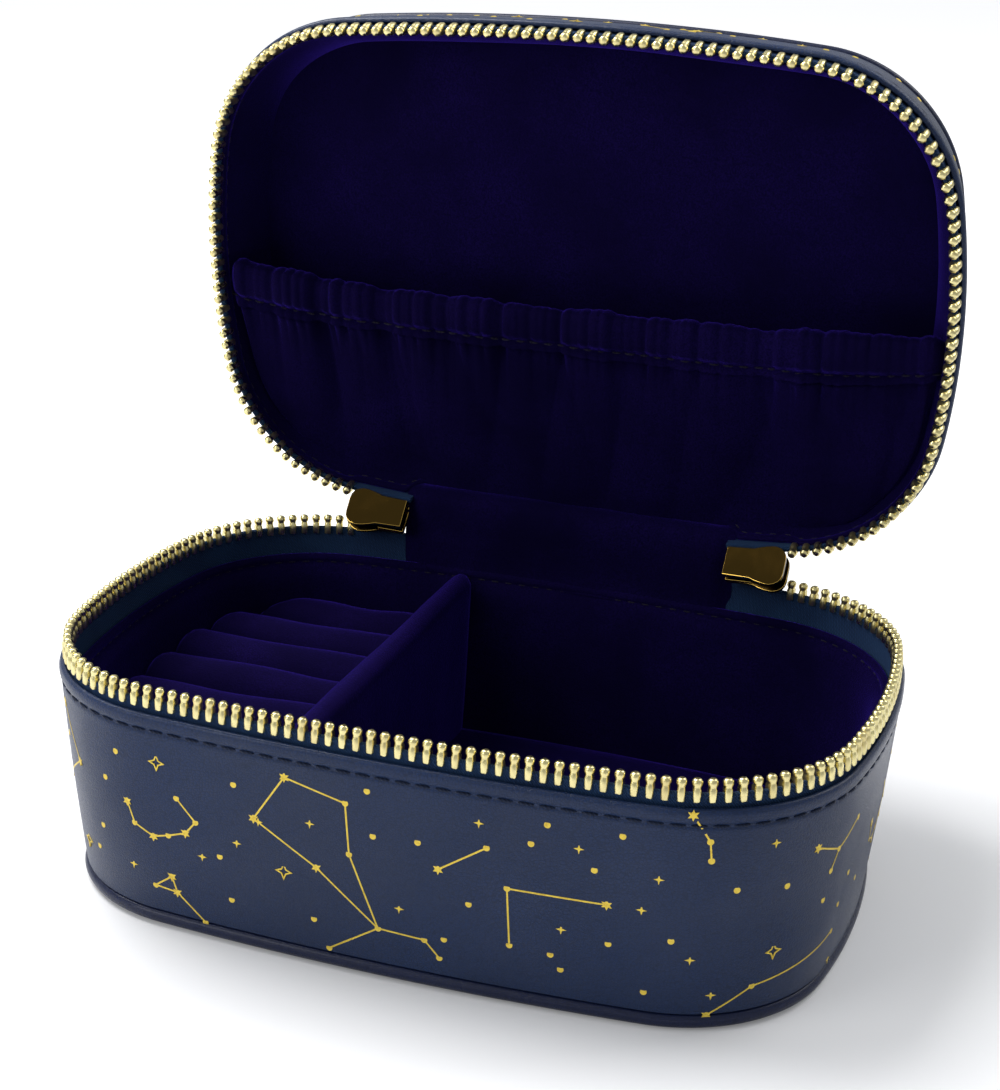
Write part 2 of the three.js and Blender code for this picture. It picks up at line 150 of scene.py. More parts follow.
class CaseColours(PropertyGroup):
    leather: colour("Leatherette", "Walls and panels", (0.0100, 0.0255, 0.080))
    piping: colour("Piping", "Welts round the bottom and the top", (0.009, 0.015, 0.052))
    foil: colour("Foil", "Star-chart print", (0.80, 0.59, 0.08))
    velvet: colour("Velvet", "Lining, pads and pocket", (0.0056, 0.0026, 0.041))
    tape: colour("Zip tape", "Woven tape of the zip", (0.005, 0.024, 0.080))
    teeth: colour("Zip teeth", "Brass teeth", (0.90, 0.80, 0.40))
    # Painted reflection and painted highlight: the sliders and pulls are one gilt metal, but their faces are
    # painted dark as a reflection of dark surroundings and their bevelled edges painted bright as highlights.
    slider: colour("Sliders", "Gilt faces of the sliders and pulls", (0.075, 0.045, 0.010))
    gilt_edge_painted_highlight: colour("Gilt edges", "Polished edges of the sliders and pulls", (0.86, 0.55, 0.12))
    floor: colour("Floor", "Studio floor", (0.86, 0.86, 0.87))


class StudioSizes(PropertyGroup):
    lens: FloatProperty(name="Lens", description="Focal length, in millimetres", default=71.57)
    floor_radius: FloatProperty(name="Floor", description="Half the floor's size", default=7.0, unit="LENGTH")


# ---- The plan and the two shells --------------------------------------------------------------------


class Outline:
    """The plan of the case at its rims: four bowed sides with round corners between them.

    Places on it are given by the distance from the middle of the front, anticlockwise from above.
    """

    def __init__(self, size):
        self.corner, self.long, self.short = size.corner_radius, size.long_side_radius, size.short_side_radius
        self.long_y, self.short_x = size.depth / 2 - self.long, size.width / 2 - self.short
        to_long, to_short = self.long - self.corner, self.short - self.corner
        apart = math.hypot(self.short_x, self.long_y)
        along = (to_long**2 - to_short**2 + apart**2) / (2 * apart)
        aside = math.sqrt(to_long**2 - along**2)
        ux, uy = self.short_x / apart, -self.long_y / apart
        self.cx, self.cy = ux * along + uy * aside, self.long_y + uy * along - ux * aside
        self.a = math.atan2(self.cx, self.cy - self.long_y)
        self.b = math.atan2(self.cy, self.cx - self.short_x)
        a, b, q = self.a, self.b, math.pi / 2
        arcs = [
            (0, -self.long_y, self.long, -q, -q + a),
            (self.cx, -self.cy, self.corner, -q + a, -b),
            (self.short_x, 0, self.short, -b, b),
            (self.cx, self.cy, self.corner, b, q - a),
            (0, self.long_y, self.long, q - a, q + a),
            (-self.cx, self.cy, self.corner, q + a, 2 * q - b),
            (-self.short_x, 0, self.short, 2 * q - b, 2 * q + b),
            (-self.cx, -self.cy, self.corner, 2 * q + b, 3 * q - a),
            (0, -self.long_y, self.long, 3 * q - a, 3 * q),
        ]
        self.arcs = np.array(arcs)
        run = self.arcs[:, 2] * (self.arcs[:, 4] - self.arcs[:, 3])
        self.starts = np.concatenate([[0], np.cumsum(run)[:-1]])
        self.length = float(run.sum())

    def at(self, s):
        """Places at distances round the outline, and the outward directions there."""
        s = np.mod(np.asarray(s, float), self.length)
        which = np.clip(np.searchsorted(self.starts, s, side="right") - 1, 0, len(self.arcs) - 1)
        x, y, radius, first = self.arcs[which, :4].T
        angle = first + (s - self.starts[which]) / radius
        normal = np.stack([np.cos(angle), np.sin(angle)], axis=-1)
        return np.stack([x, y], axis=-1) + radius[..., None] * normal, normal

    def half_width(self, y, inset):
        """Half the width at depth y, of the outline moved in by inset."""
        y = np.abs(y)
        root = lambda v: np.sqrt(np.maximum(v, 0))
        short = self.short_x + root((self.short - inset) ** 2 - y**2)
        corner = self.cx + root((self.corner - inset) ** 2 - (y - self.cy) ** 2)
        far = root((self.long - inset) ** 2 - (y - self.long_y) ** 2)
        on_short = y <= (self.short - inset) * math.sin(self.b)
        on_corner = y - self.cy <= (self.corner - inset) * math.cos(self.a)
        return np.where(on_short, short, np.where(on_corner, corner, far))

    def half_depth(self, x, inset):
        """Half the depth at x, on the bowed front and back, moved in by inset."""
        return self.long_y + np.sqrt((self.long - inset) ** 2 - np.asarray(x) ** 2)

    def back(self, x):
        """Where the back is x to the right of its middle, as a distance round the outline."""
        on_long = self.long * math.asin(min(abs(x) / self.long, 1))
        if abs(x) > self.cx and abs(x) > self.long * math.sin(self.a):
            turn = math.pi / 2 - self.a - math.acos((abs(x) - self.cx) / self.corner)
            on_long = self.long * self.a + self.corner * turn
        return self.length / 2 - math.copysign(on_long, x)


class Shell:
    """The base or the lid: where its rim is, how tall it is, and how far its wall leans in.

    Places on its wall are given by the distance round, how far in from the face and how far from the rim.
    A negative distance from the rim is on the zip's side.
    """

    def __init__(self, outline, size, name):
        is_lid = name == "lid"
        self.name, self.outline = name, outline
        self.height = size.lid_height if is_lid else size.base_height
        self.lean = size.lid_lean if is_lid else size.base_lean
        self.rim = size.base_height + (size.rim_gap if is_lid else 0)
        self.direction = 1 if is_lid else -1
        self.angle = size.lid_angle if is_lid else 0
        self.axis = np.array([0, size.hinge_y, size.hinge_z])

    def rest(self, points):
        """Points of the closed case, where they are with the lid open."""
        return turned(points, self.angle, self.axis)

    def points(self, s, inset, drop):
        """Places in the wall at rest: a row for each distance round, with insets and drops in millimetres."""
        place, normal = self.outline.at(s)
        inset, drop = np.asarray(inset) * MM, np.asarray(drop) * MM
        deep = inset + self.lean * np.maximum(drop, 0) / self.height
        xy = place[:, None, :] - normal[:, None, :] * deep[..., None]
        z = np.broadcast_to(self.rim + self.direction * drop, xy.shape[:2])
        return self.rest(np.dstack([xy, z]))

    def directions(self, s):
        """The wall's outward directions and the direction of the zip, at rest."""
        _, normal = self.outline.at(s)
        out = np.column_stack([normal, np.zeros(len(normal))])
        up = np.tile([0.0, 0.0, -float(self.direction)], (len(normal), 1))
        flat = self.axis * 0
        return turned(out, self.angle, flat), turned(up, self.angle, flat)


def turned(points, angle, axis):
    """Points turned about an axis along X, as the lid opens."""
    moved = np.asarray(points, float) - axis
    c, s = math.cos(-angle), math.sin(-angle)
    y, z = moved[..., 1].copy(), moved[..., 2].copy()
    moved[..., 1], moved[..., 2] = y * c - z * s, y * s + z * c
    return moved + axis


def sizes():
    """The sizes of the case, as the user has set them."""
    return bpy.context.scene.case_sizes


def shell(name):
    """The base or the lid at the sizes that the user has set."""
    return Shell(Outline(sizes()), sizes(), name)


def stations(outline, spacing=1.6 * MM):
    """Even distances all the way round."""
    count = round(outline.length / spacing)
    return np.arange(count) * outline.length / count


# ---- Meshes -----------------------------------------------------------------------------------------


def add_mesh(name, vertices, faces, material, uv=None, sharp=40):
    """A mesh with its faces turned outwards, smooth except where it bends by more than sharp degrees."""
    mesh = bpy.data.meshes.new(name)
    mesh.from_pydata(np.asarray(vertices, float).reshape(-1, 3).tolist(), [], faces)
    mesh.materials.append(material)
    if uv is not None:
        layer = mesh.uv_layers.new(name="surface")
        layer.data.foreach_set("uv", np.asarray(uv, float).ravel())
    mesh.update()
    mesh.calc_loop_triangles()
    corners = np.array([mesh.vertices[i].co for t in mesh.loop_triangles for i in t.vertices])
    a, b, c = corners.reshape(-1, 3, 3).transpose(1, 0, 2)
    if (a * np.cross(b, c)).sum() < 0:
        mesh.flip_normals()
    mesh.shade_smooth()
    mesh.set_sharp_from_angle(angle=math.radians(sharp))
    piece = bpy.data.objects.new(name, mesh)
    bpy.context.scene.collection.objects.link(piece)
    return piece


def loft_faces(rows, columns, around, tube, first=0):
    """Quads over a grid of rows by columns, closed along either, and the grid steps of each corner."""
    i, j = np.meshgrid(
        np.arange(rows if around else rows - 1), np.arange(columns if tube else columns - 1), indexing="ij"
    )
    i, j = i.ravel(), j.ravel()
    corners = [(0, 0), (0, 1), (1, 1), (1, 0)]
    steps = np.stack([np.stack([i + down, j + across], 1) for down, across in corners], 1)
    index = first + (steps[..., 0] % rows) * columns + steps[..., 1] % columns
    return index, steps


def loft(name, grid, material, around=False, tube=True, sharp=40):
    """A surface through rows of points.

    around closes it from the last row to the first, and tube closes each row.
    """
    rows, columns = grid.shape[:2]
    index, steps = loft_faces(rows, columns, around, tube)
    faces = index.tolist()
    gaps = lambda line: np.concatenate([[0], np.cumsum(np.linalg.norm(np.diff(line, axis=0), axis=1))])
    run = gaps(np.concatenate([grid[:, 0], grid[:1, 0]]))
    rise = gaps(np.concatenate([grid[0], grid[0, :1]]))
    uv = [np.stack([run[steps[..., 0]], rise[steps[..., 1]]], -1).reshape(-1, 2)]
    if tube and not around:
        last = (rows - 1) * columns
        faces += [list(range(columns))[::-1], list(range(last, last + columns))]
        uv.append(np.zeros((2 * columns, 2)))
    return add_mesh(name, grid, faces, material, np.concatenate(uv), sharp)


def smoothed(points, per_span=4):
    """A Catmull-Rom line through the points."""
    p = np.asarray(points, float)
    p = np.vstack([2 * p[0] - p[1], p, 2 * p[-1] - p[-2]])
    t = np.linspace(0, 1, per_span, endpoint=False)[:, None]
    lines = [
        0.5 * (2 * b + (c - a) * t + (2 * a - 5 * b + 4 * c - d) * t**2 + (3 * b - a - 3 * c + d) * t**3)
        for a, b, c, d in zip(p, p[1:], p[2:], p[3:])
    ]
    return np.vstack([*lines, p[-2:-1]])


def ripple(x, y, seed, waves=5, longest=0.06, shortest=0.015):
    """Soft unevenness between about -1 and 1, the same on every run."""
    rng = np.random.default_rng(seed)
    total = np.zeros(np.broadcast(x, y).shape)
    for _ in range(waves):
        angle, phase = rng.uniform(0, 2 * math.pi, 2)
        wave = 2 * math.pi / rng.uniform(shortest, longest)
        total = total + np.sin(wave * (x * math.cos(angle) + y * math.sin(angle)) + phase)
    return total / math.sqrt(waves) / 1.2


def finish_piece(piece, body, slot, *nodes):
    """Rides on a body and stands for CAD nodes, which it hides. Its slot is not used."""
    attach(piece, body)
    if nodes:
        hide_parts(*nodes)
    return piece


# ---- Repeats made by Geometry Nodes -----------------------------------------------------------------


def tree_with(name, kind, inputs, outputs):
    """A node tree with named inputs and outputs, and its two end nodes."""
    tree = bpy.data.node_groups.new(name, kind)
    for title, socket in outputs:
        tree.interface.new_socket(title, in_out="OUTPUT", socket_type=socket)
    for title, socket, *default in inputs:
        made = tree.interface.new_socket(title, in_out="INPUT", socket_type=socket)
        if default:
            made.default_value = default[0]
    return tree, put(tree, "NodeGroupInput"), put(tree, "NodeGroupOutput")


def put(tree, kind, inputs=None, **settings):
    """Adds a node. Each input is given a value, or the socket that feeds it."""
    made = tree.nodes.new(kind)
    for key, value in settings.items():
        setattr(made, key, value)
    for key, value in (inputs or {}).items():
        if isinstance(value, bpy.types.NodeSocket):
            tree.links.new(value, made.inputs[key])
        else:
            made.inputs[key].default_value = value
    return made


def named(tree, name, kind="FLOAT_VECTOR"):
    """A value that a carrier has on each point."""
    return put(tree, "GeometryNodeInputNamedAttribute", {"Name": name}, data_type=kind).outputs["Attribute"]


def row_tree():
    """Sets a shape at an even spacing along a path: its Z along the path's "up", its X along the path."""
    if "Row along a path" in bpy.data.node_groups:
        return bpy.data.node_groups["Row along a path"]
    tree, given, out = tree_with(
        "Row along a path",
        "GeometryNodeTree",
        [
            ("Path", "NodeSocketGeometry"),
            ("Shape", "NodeSocketObject"),
            ("Spacing", "NodeSocketFloat", 0.003),
            ("Finish", "NodeSocketMaterial"),
        ],
        [("Row", "NodeSocketGeometry")],
    )
    curve = put(tree, "GeometryNodeMeshToCurve", {"Mesh": given.outputs["Path"]})
    even = put(
        tree,
        "GeometryNodeResampleCurve",
        {"Curve": curve.outputs["Curve"], "Length": given.outputs["Spacing"]},
        mode="LENGTH",
    )
    shape = put(tree, "GeometryNodeObjectInfo", {"Object": given.outputs["Shape"]})
    turn = put(
        tree,
        "FunctionNodeAxesToRotation",
        {0: named(tree, "up"), 1: put(tree, "GeometryNodeInputTangent").outputs[0]},
        primary_axis="Z",
        secondary_axis="X",
    )
    row = put(
        tree,
        "GeometryNodeInstanceOnPoints",
        {"Points": even.outputs["Curve"], "Instance": shape.outputs["Geometry"], "Rotation": turn.outputs[0]},
    )
    return end_tree(tree, row, given, out)


def scatter_tree():
    """Sets a shape on every point, at the point's "size": its Z along "out", its Y along "up"."""
    if "Shapes on points" in bpy.data.node_groups:
        return bpy.data.node_groups["Shapes on points"]
    tree, given, out = tree_with(
        "Shapes on points",
        "GeometryNodeTree",
        [("Points", "NodeSocketGeometry"), ("Shape", "NodeSocketObject"), ("Finish", "NodeSocketMaterial")],
        [("Shapes", "NodeSocketGeometry")],
    )
    shape = put(tree, "GeometryNodeObjectInfo", {"Object": given.outputs["Shape"]})
    turn = put(
        tree,
        "FunctionNodeAxesToRotation",
        {0: named(tree, "out"), 1: named(tree, "up")},
        primary_axis="Z",
        secondary_axis="Y",
    )
    row = put(
        tree,
        "GeometryNodeInstanceOnPoints",
        {
            "Points": given.outputs["Points"],
            "Instance": shape.outputs["Geometry"],
            "Rotation": turn.outputs[0],
            "Scale": named(tree, "size", "FLOAT"),
        },
    )
    return end_tree(tree, row, given, out)


def end_tree(tree, instances, given, out):
    """Makes the instances real and gives them their finish."""
    real = put(tree, "GeometryNodeRealizeInstances", {"Geometry": instances.outputs["Instances"]})
    finished = put(
        tree,
        "GeometryNodeSetMaterial",
        {"Geometry": real.outputs["Geometry"], "Material": given.outputs["Finish"]},
    )
    tree.links.new(finished.outputs["Geometry"], out.inputs[0])
    return tree


def carrier(points, edges, **attributes):
    """A bare mesh that carries points, edges and vectors or sizes on its points."""
    mesh = bpy.data.meshes.new("carrier")
    mesh.from_pydata(np.asarray(points, float).tolist(), edges, [])
    for name, values in attributes.items():
        values = np.asarray(values, float)
        flat = values.ndim == 1
        layer = mesh.attributes.new(name, "FLOAT" if flat else "FLOAT_VECTOR", "POINT")
        layer.data.foreach_set("value" if flat else "vector", values.ravel())
    made = bpy.data.objects.new("carrier", mesh)
    bpy.context.scene.collection.objects.link(made)
    return made


def repeated(name, holder, tree, shape, material, **inputs):
    """Runs a tree on a carrier and keeps what it makes as a plain mesh piece."""
    modifier = holder.modifiers.new("Repeat", "NODES")
    modifier.node_group = tree
    given = {"Shape": shape, "Finish": material, **inputs}
    for item in tree.interface.items_tree:
        if item.in_out == "INPUT" and item.name in given:
            modifier[item.identifier] = given[item.name]
    graph = bpy.context.evaluated_depsgraph_get()
    mesh = bpy.data.meshes.new_from_object(holder.evaluated_get(graph), depsgraph=graph)
    mesh.name = name
    for layer in [a for a in mesh.attributes if a.name in ("up", "out", "size")]:
        mesh.attributes.remove(layer)
    if not mesh.polygons:
        raise RuntimeError(f"{name}: the tree made nothing")
    piece = bpy.data.objects.new(name, mesh)
    bpy.context.scene.collection.objects.link(piece)
    bpy.data.objects.remove(holder)
    bpy.data.objects.remove(shape)
    return piece


def row(name, points, up, closed, spacing, shape, material):
    """A shape set at an even spacing along a line of points."""
    count = len(points)
    edges = [(i, (i + 1) % count) for i in range(count if closed else count - 1)]
    return repeated(name, carrier(points, edges, up=up), row_tree(), shape, material, Spacing=spacing)


def solid_of_levels(name, levels, material, sharp=40):
    """A closed solid through rings of points, capped at both ends."""
    return loft(name, np.array(levels, float) * MM, material, sharp=sharp)


def tooth_shape(material):
    """One zip tooth: two legs clamped over the tape, a neck and a round knob. Its Z runs up from the rim."""
    levels = []
    for z, wide, deep, cut in [
        (1.1, 1.34, 2.2, 0.25),
        (1.35, 1.44, 2.4, 0.3),
        (3.3, 1.4, 2.36, 0.3),
        (3.75, 1.16, 1.95, 0.3),
        (4.0, 1.5, 1.9, 0.5),
        (4.45, 1.94, 1.95, 0.6),
        (4.95, 1.84, 1.85, 0.58),
        (5.3, 1.3, 1.45, 0.45),
        (5.42, 0.7, 0.8, 0.2),
    ]:
        w, d = wide / 2, deep / 2
        a, b = w - cut, d - cut
        ring = [(w, b), (a, d), (-a, d), (-w, b), (-w, -b), (-a, -d), (a, -d), (w, -b)]
        levels.append([(x, y, z) for x, y in ring])
    return solid_of_levels("tooth", levels, material, sharp=55)


def stitch_shape(material, long=3.1, thick=0.5):
    """One stitch: a short plump thread along X whose ends dip."""
    levels = []
    for t in (-1, -0.86, -0.45, 0, 0.45, 0.86, 1):
        girth = thick / 2 * math.sqrt(max(1 - 0.86 * t**4, 0.05))
        sink = -0.28 * t**4
        ring = [(girth * math.cos(k * math.pi / 3), girth * math.sin(k * math.pi / 3)) for k in range(6)]
        levels.append([(t * long / 2, y, sink + z) for y, z in ring])
    return solid_of_levels("stitch", levels, material, sharp=80)


def print_shape(outer, material, hole=None, thick=0.11):
    """A flat shape of radius 1 with a little body, for a small print. Its Z is out of the surface."""
    top = [(x, y, thick / 2) for x, y in outer]
    low = [(x, y, -thick) for x, y in outer]
    count = len(outer)
    sides = [[i, (i + 1) % count, count + (i + 1) % count, count + i] for i in range(count)]
    if hole is None:
        faces = [list(range(count))[::-1], list(range(count, 2 * count)), *sides]
        return add_mesh("print", top + low, faces, material, sharp=30)
    inner = [(x, y, z) for z in (thick / 2, -thick) for x, y in hole]
    faces = sides + [[2 * count + j for j in (face[3], face[2], face[1], face[0])] for face in sides]
    for i in range(count):
        j = (i + 1) % count
        faces.append([i, 2 * count + i, 2 * count + j, j])
        faces.append([count + j, 3 * count + j, 3 * count + i, count + i])
    return add_mesh("print", top + low + inner, faces, material, sharp=30)


def star_points(points, waist, radius=1.0):
    """The corners of a star. waist is how far out its inner corners are, as a share of the points."""
    ring = []
    for k in range(2 * points):
        r = radius * (waist if k % 2 else 1)
        angle = math.pi / 2 + k * math.pi / points
        ring.append((r * math.cos(angle), r * math.sin(angle)))
    return ring


# ---- Materials --------------------------------------------------------------------------------------


def object_place(tree):
    """The place on the piece, in metres."""
    return put(tree, "ShaderNodeTexCoord").outputs["Object"]


def group_in(tree, group, inputs=None):
    """Places a shader node group in a material."""
    return put(tree, "ShaderNodeGroup", inputs, node_tree=group)


def mixed(tree, factor, a, b):
    """A colour from a to b. Each is a colour or the socket that gives it."""
    a, b = [v if isinstance(v, bpy.types.NodeSocket) else (*v, 1) for v in (a, b)]
    factor_input, a_input, b_input, colour_output = 0, 6, 7, 2
    made = put(tree, "ShaderNodeMix", {factor_input: factor, a_input: a, b_input: b}, data_type="RGBA")
    return made.outputs[colour_output]


def remapped(tree, value, low, high, to_low=0.0, to_high=1.0):
    """A value spread from low..high to to_low..to_high, and held there outside."""
    made = put(
        tree,
        "ShaderNodeMapRange",
        {"Value": value, "From Min": low, "From Max": high, "To Min": to_low, "To Max": to_high},
    )
    return made.outputs["Result"]


def sums(tree, operation, a, b):
    """One step of arithmetic on two values."""
    return put(tree, "ShaderNodeMath", {0: a, 1: b}, operation=operation).outputs[0]


def noise(tree, where, scale, detail=3.0, roughness=0.5):
    """A cloudy value between 0 and 1."""
    inputs = {"Vector": where, "Scale": scale, "Detail": detail, "Roughness": roughness}
    return put(tree, "ShaderNodeTexNoise", inputs).outputs["Fac"]


def bent(tree, where, scale, far):
    """Places pushed about by a noise, so that a pattern on them isn't regular."""
    bend = put(tree, "ShaderNodeTexNoise", {"Vector": where, "Scale": scale, "Detail": 2.0})
    shift = put(tree, "ShaderNodeVectorMath", {0: bend.outputs["Color"], "Scale": far}, operation="SCALE")
    return put(tree, "ShaderNodeVectorMath", {0: where, 1: shift.outputs[0]}, operation="ADD").outputs[0]


def grain_group():
    """Pressed leather grain: small irregular cells with creases between them."""
    if "Leather grain" in bpy.data.node_groups:
        return bpy.data.node_groups["Leather grain"]
    tree, given, out = tree_with(
        "Leather grain",
        "ShaderNodeTree",
        [("Cells", "NodeSocketFloat", 1600.0), ("Unevenness", "NodeSocketFloat", 0.35)],
        [("Height", "NodeSocketFloat"), ("Creases", "NodeSocketFloat")],
    )
    where = object_place(tree)
    cells = put(
        tree,
        "ShaderNodeTexVoronoi",
        {"Vector": bent(tree, where, 900.0, 0.0004), "Scale": given.outputs["Cells"]},
        feature="DISTANCE_TO_EDGE",
    )
    crease = remapped(tree, cells.outputs["Distance"], 0.0, 0.16)
    broad = noise(tree, where, 220.0, 4.0)
    uneven = sums(tree, "MULTIPLY", broad, given.outputs["Unevenness"])
    tree.links.new(sums(tree, "ADD", crease, uneven), out.inputs["Height"])
    tree.links.new(crease, out.inputs["Creases"])
    return tree


def handling_group():
    """Where a surface has been handled: soft smudges and a few fine scuffs."""
    if "Handling" in bpy.data.node_groups:
        return bpy.data.node_groups["Handling"]
    tree, given, out = tree_with(
        "Handling",
        "ShaderNodeTree",
        [("Smudge size", "NodeSocketFloat", 28.0), ("Scuff size", "NodeSocketFloat", 260.0)],
        [("Smudges", "NodeSocketFloat"), ("Scuffs", "NodeSocketFloat")],
    )
    where = object_place(tree)
    smudge = remapped(tree, noise(tree, where, given.outputs["Smudge size"], 5.0, 0.6), 0.42, 0.68)
    turn = {"Vector": where, "Scale": (1.0, 1.0, 0.22), "Rotation": (0.4, 0.2, 0.5)}
    stretched = put(tree, "ShaderNodeMapping", turn)
    scuff = noise(tree, stretched.outputs[0], given.outputs["Scuff size"], 6.0, 0.7)
    tree.links.new(smudge, out.inputs["Smudges"])
    tree.links.new(remapped(tree, scuff, 0.66, 0.76), out.inputs["Scuffs"])
    return tree


def weave_group():
    """Twill woven tape: threads over and under, slanting across the surface's own map."""
    if "Twill" in bpy.data.node_groups:
        return bpy.data.node_groups["Twill"]
    tree, given, out = tree_with(
        "Twill",
        "ShaderNodeTree",
        [("Threads per metre", "NodeSocketFloat", 2400.0), ("Slant", "NodeSocketFloat", 0.9)],
        [("Height", "NodeSocketFloat"), ("Shade", "NodeSocketFloat")],
    )
    where = put(tree, "ShaderNodeUVMap", uv_map="surface").outputs[0]
    turn = put(tree, "ShaderNodeCombineXYZ", {"Z": given.outputs["Slant"]})
    slant = {"Vector": where, "Rotation": turn.outputs[0]}
    slanted = put(tree, "ShaderNodeVectorRotate", slant, rotation_type="EULER_XYZ")
    fine = {0: slanted.outputs[0], "Scale": given.outputs["Threads per metre"]}
    scaled = put(tree, "ShaderNodeVectorMath", fine, operation="SCALE")
    parts = put(tree, "ShaderNodeSeparateXYZ", {0: scaled.outputs[0]})
    along, across = [
        sums(tree, "SINE", sums(tree, "MULTIPLY", parts.outputs[axis], math.pi * share), 0.0)
        for axis, share in ((0, 0.5), (1, 1))
    ]
    over = sums(tree, "MULTIPLY", along, across)
    rib = sums(tree, "MULTIPLY", across, across)
    height = sums(tree, "ADD", sums(tree, "MULTIPLY", over, 0.35), rib)
    tree.links.new(height, out.inputs["Height"])
    # Shade: the weave's height, used to paint shade where the threads dip under.
    tree.links.new(remapped(tree, height, -0.2, 1.2), out.inputs["Shade"])
    return tree


def new_material(name, **constants):
    """A material, its tree and its shader, with the sockets set that are the same all over."""
    material = bpy.data.materials.new(name)
    material.use_nodes = True
    tree = material.node_tree
    shader = next(n for n in tree.nodes if n.type == "BSDF_PRINCIPLED")
    for key, value in constants.items():
        socket = shader.inputs[key.replace("_", " ")]
        socket.default_value = (*value, 1) if len(np.atleast_1d(value)) == 3 else value
    return material, tree, shader


def bumped(tree, shader, height, distance, strength=1.0, after=None):
    """Gives the shader a relief, on top of the normals in after."""
    inputs = {"Height": height, "Distance": distance, "Strength": strength}
    if after is not None:
        inputs["Normal"] = after
    made = put(tree, "ShaderNodeBump", inputs).outputs[0]
    tree.links.new(made, shader.inputs["Normal"])
    return made


def darker(colour, *shares):
    """A colour times a share, or times one share for each of red, green and blue."""
    return tuple(float(share) * v for share, v in zip(np.broadcast_to(shares, 3), colour))


LIGHTER_SCUFFS = 2.16  # colour of a scuff, as a share of the leather's


def leather_material(name, colour, roughness, cells=1500.0, depth=0.00005):
    """Coated leatherette: fine pressed grain with painted shade in its creases, uneven sheen where it was
    handled.
    """
    material, tree, shader = new_material(name, Specular_IOR_Level=0.2, Coat_Roughness=0.2)
    grain = group_in(tree, grain_group(), {"Cells": cells})
    worn = group_in(tree, handling_group())
    where = object_place(tree)
    cloudy = remapped(tree, noise(tree, where, 34.0, 3.0), 0.3, 0.7)
    base = mixed(tree, cloudy, darker(colour, 0.86), darker(colour, 1.1))
    # Painted shade: the grain's creases are coloured darker, as shade.
    crease_shaded = mixed(tree, grain.outputs["Creases"], darker(colour, 0.62), base)
    rubbed = sums(tree, "MULTIPLY", worn.outputs["Scuffs"], 0.35)
    scuffed = mixed(tree, rubbed, crease_shaded, darker(colour, LIGHTER_SCUFFS))
    tree.links.new(scuffed, shader.inputs["Base Color"])
    rough = remapped(tree, worn.outputs["Smudges"], 0.0, 1.0, roughness, roughness + 0.12)
    scraped = sums(tree, "MULTIPLY", worn.outputs["Scuffs"], 0.1)
    tree.links.new(sums(tree, "ADD", rough, scraped), shader.inputs["Roughness"])
    tree.links.new(remapped(tree, worn.outputs["Smudges"], 0.0, 1.0, 0.22, 0.1), shader.inputs["Coat Weight"])
    bumped(tree, shader, grain.outputs["Height"], depth)
    return material


def foil_material(colour):
    """Hot-stamped gold foil, over the same grain, slightly broken up and warmer where it is thin."""
    material, tree, shader = new_material("gold foil", Metallic=0.6)
    grain = group_in(tree, grain_group(), {"Cells": 1500.0})
    where = object_place(tree)
    thin = remapped(tree, noise(tree, where, 900.0, 4.0), 0.5, 0.75)
    base = mixed(tree, sums(tree, "MULTIPLY", thin, 0.45), colour, darker(colour, 0.62, 0.5, 0.4))
    tree.links.new(base, shader.inputs["Base Color"])
    tree.links.new(remapped(tree, thin, 0.0, 1.0, 0.38, 0.55), shader.inputs["Roughness"])
    bumped(tree, shader, grain.outputs["Height"], 0.00003)
    return material


def velvet_material(name, colour):
    """Short-pile velvet: a fine pile whose low spots are painted darker as shade, and nap that lies different
    ways in soft patches, painted lighter and darker as sheen.
    """
    material, tree, shader = new_material(
        name,
        Roughness=0.95,
        Specular_IOR_Level=0.03,
        Sheen_Weight=0.8,
        Sheen_Roughness=0.28,
        Sheen_Tint=(0.10, 0.045, 0.85),
    )
    where = object_place(tree)
    patches = remapped(tree, noise(tree, bent(tree, where, 30.0, 0.02), 42.0, 4.0, 0.55), 0.34, 0.68)
    pile = noise(tree, where, 2600.0, 2.0, 0.7)
    # Painted sheen: the nap patches mix a darker and a lighter copy of the velvet's colour.
    nap_painted_sheen = mixed(tree, patches, darker(colour, 0.62), darker(colour, 1.5))
    # Painted shade: the pile's low spots are coloured darker.
    base = mixed(tree, remapped(tree, pile, 0.35, 0.7), darker(colour, 0.5), nap_painted_sheen)
    tree.links.new(base, shader.inputs["Base Color"])
    soft = bumped(tree, shader, patches, 0.0003, 0.25)
    bumped(tree, shader, pile, 0.00018, 0.8, after=soft)
    return material


def tape_material(colour):
    """Woven zip tape with a slanting rib painted darker where its threads dip, as shade, and a little fluff.
    """
    material, tree, shader = new_material(
        "zip tape weave",
        Roughness=0.85,
        Specular_IOR_Level=0.25,
        Sheen_Weight=0.12,
        Sheen_Tint=(0.2, 0.4, 0.9),
    )
    weave = group_in(tree, weave_group(), {"Threads per metre": 2300.0})
    where = object_place(tree)
    # Painted shade: the weave is coloured darker where its threads dip under.
    base = mixed(tree, weave.outputs["Shade"], darker(colour, 0.3), darker(colour, 1.35))
    fluff = remapped(tree, noise(tree, where, 120.0), 0.35, 0.75, 0.0, 0.35)
    faded = mixed(tree, fluff, base, (0.012, 0.055, 0.14))
    tree.links.new(faded, shader.inputs["Base Color"])
    bumped(tree, shader, weave.outputs["Height"], 0.00014)
    return material


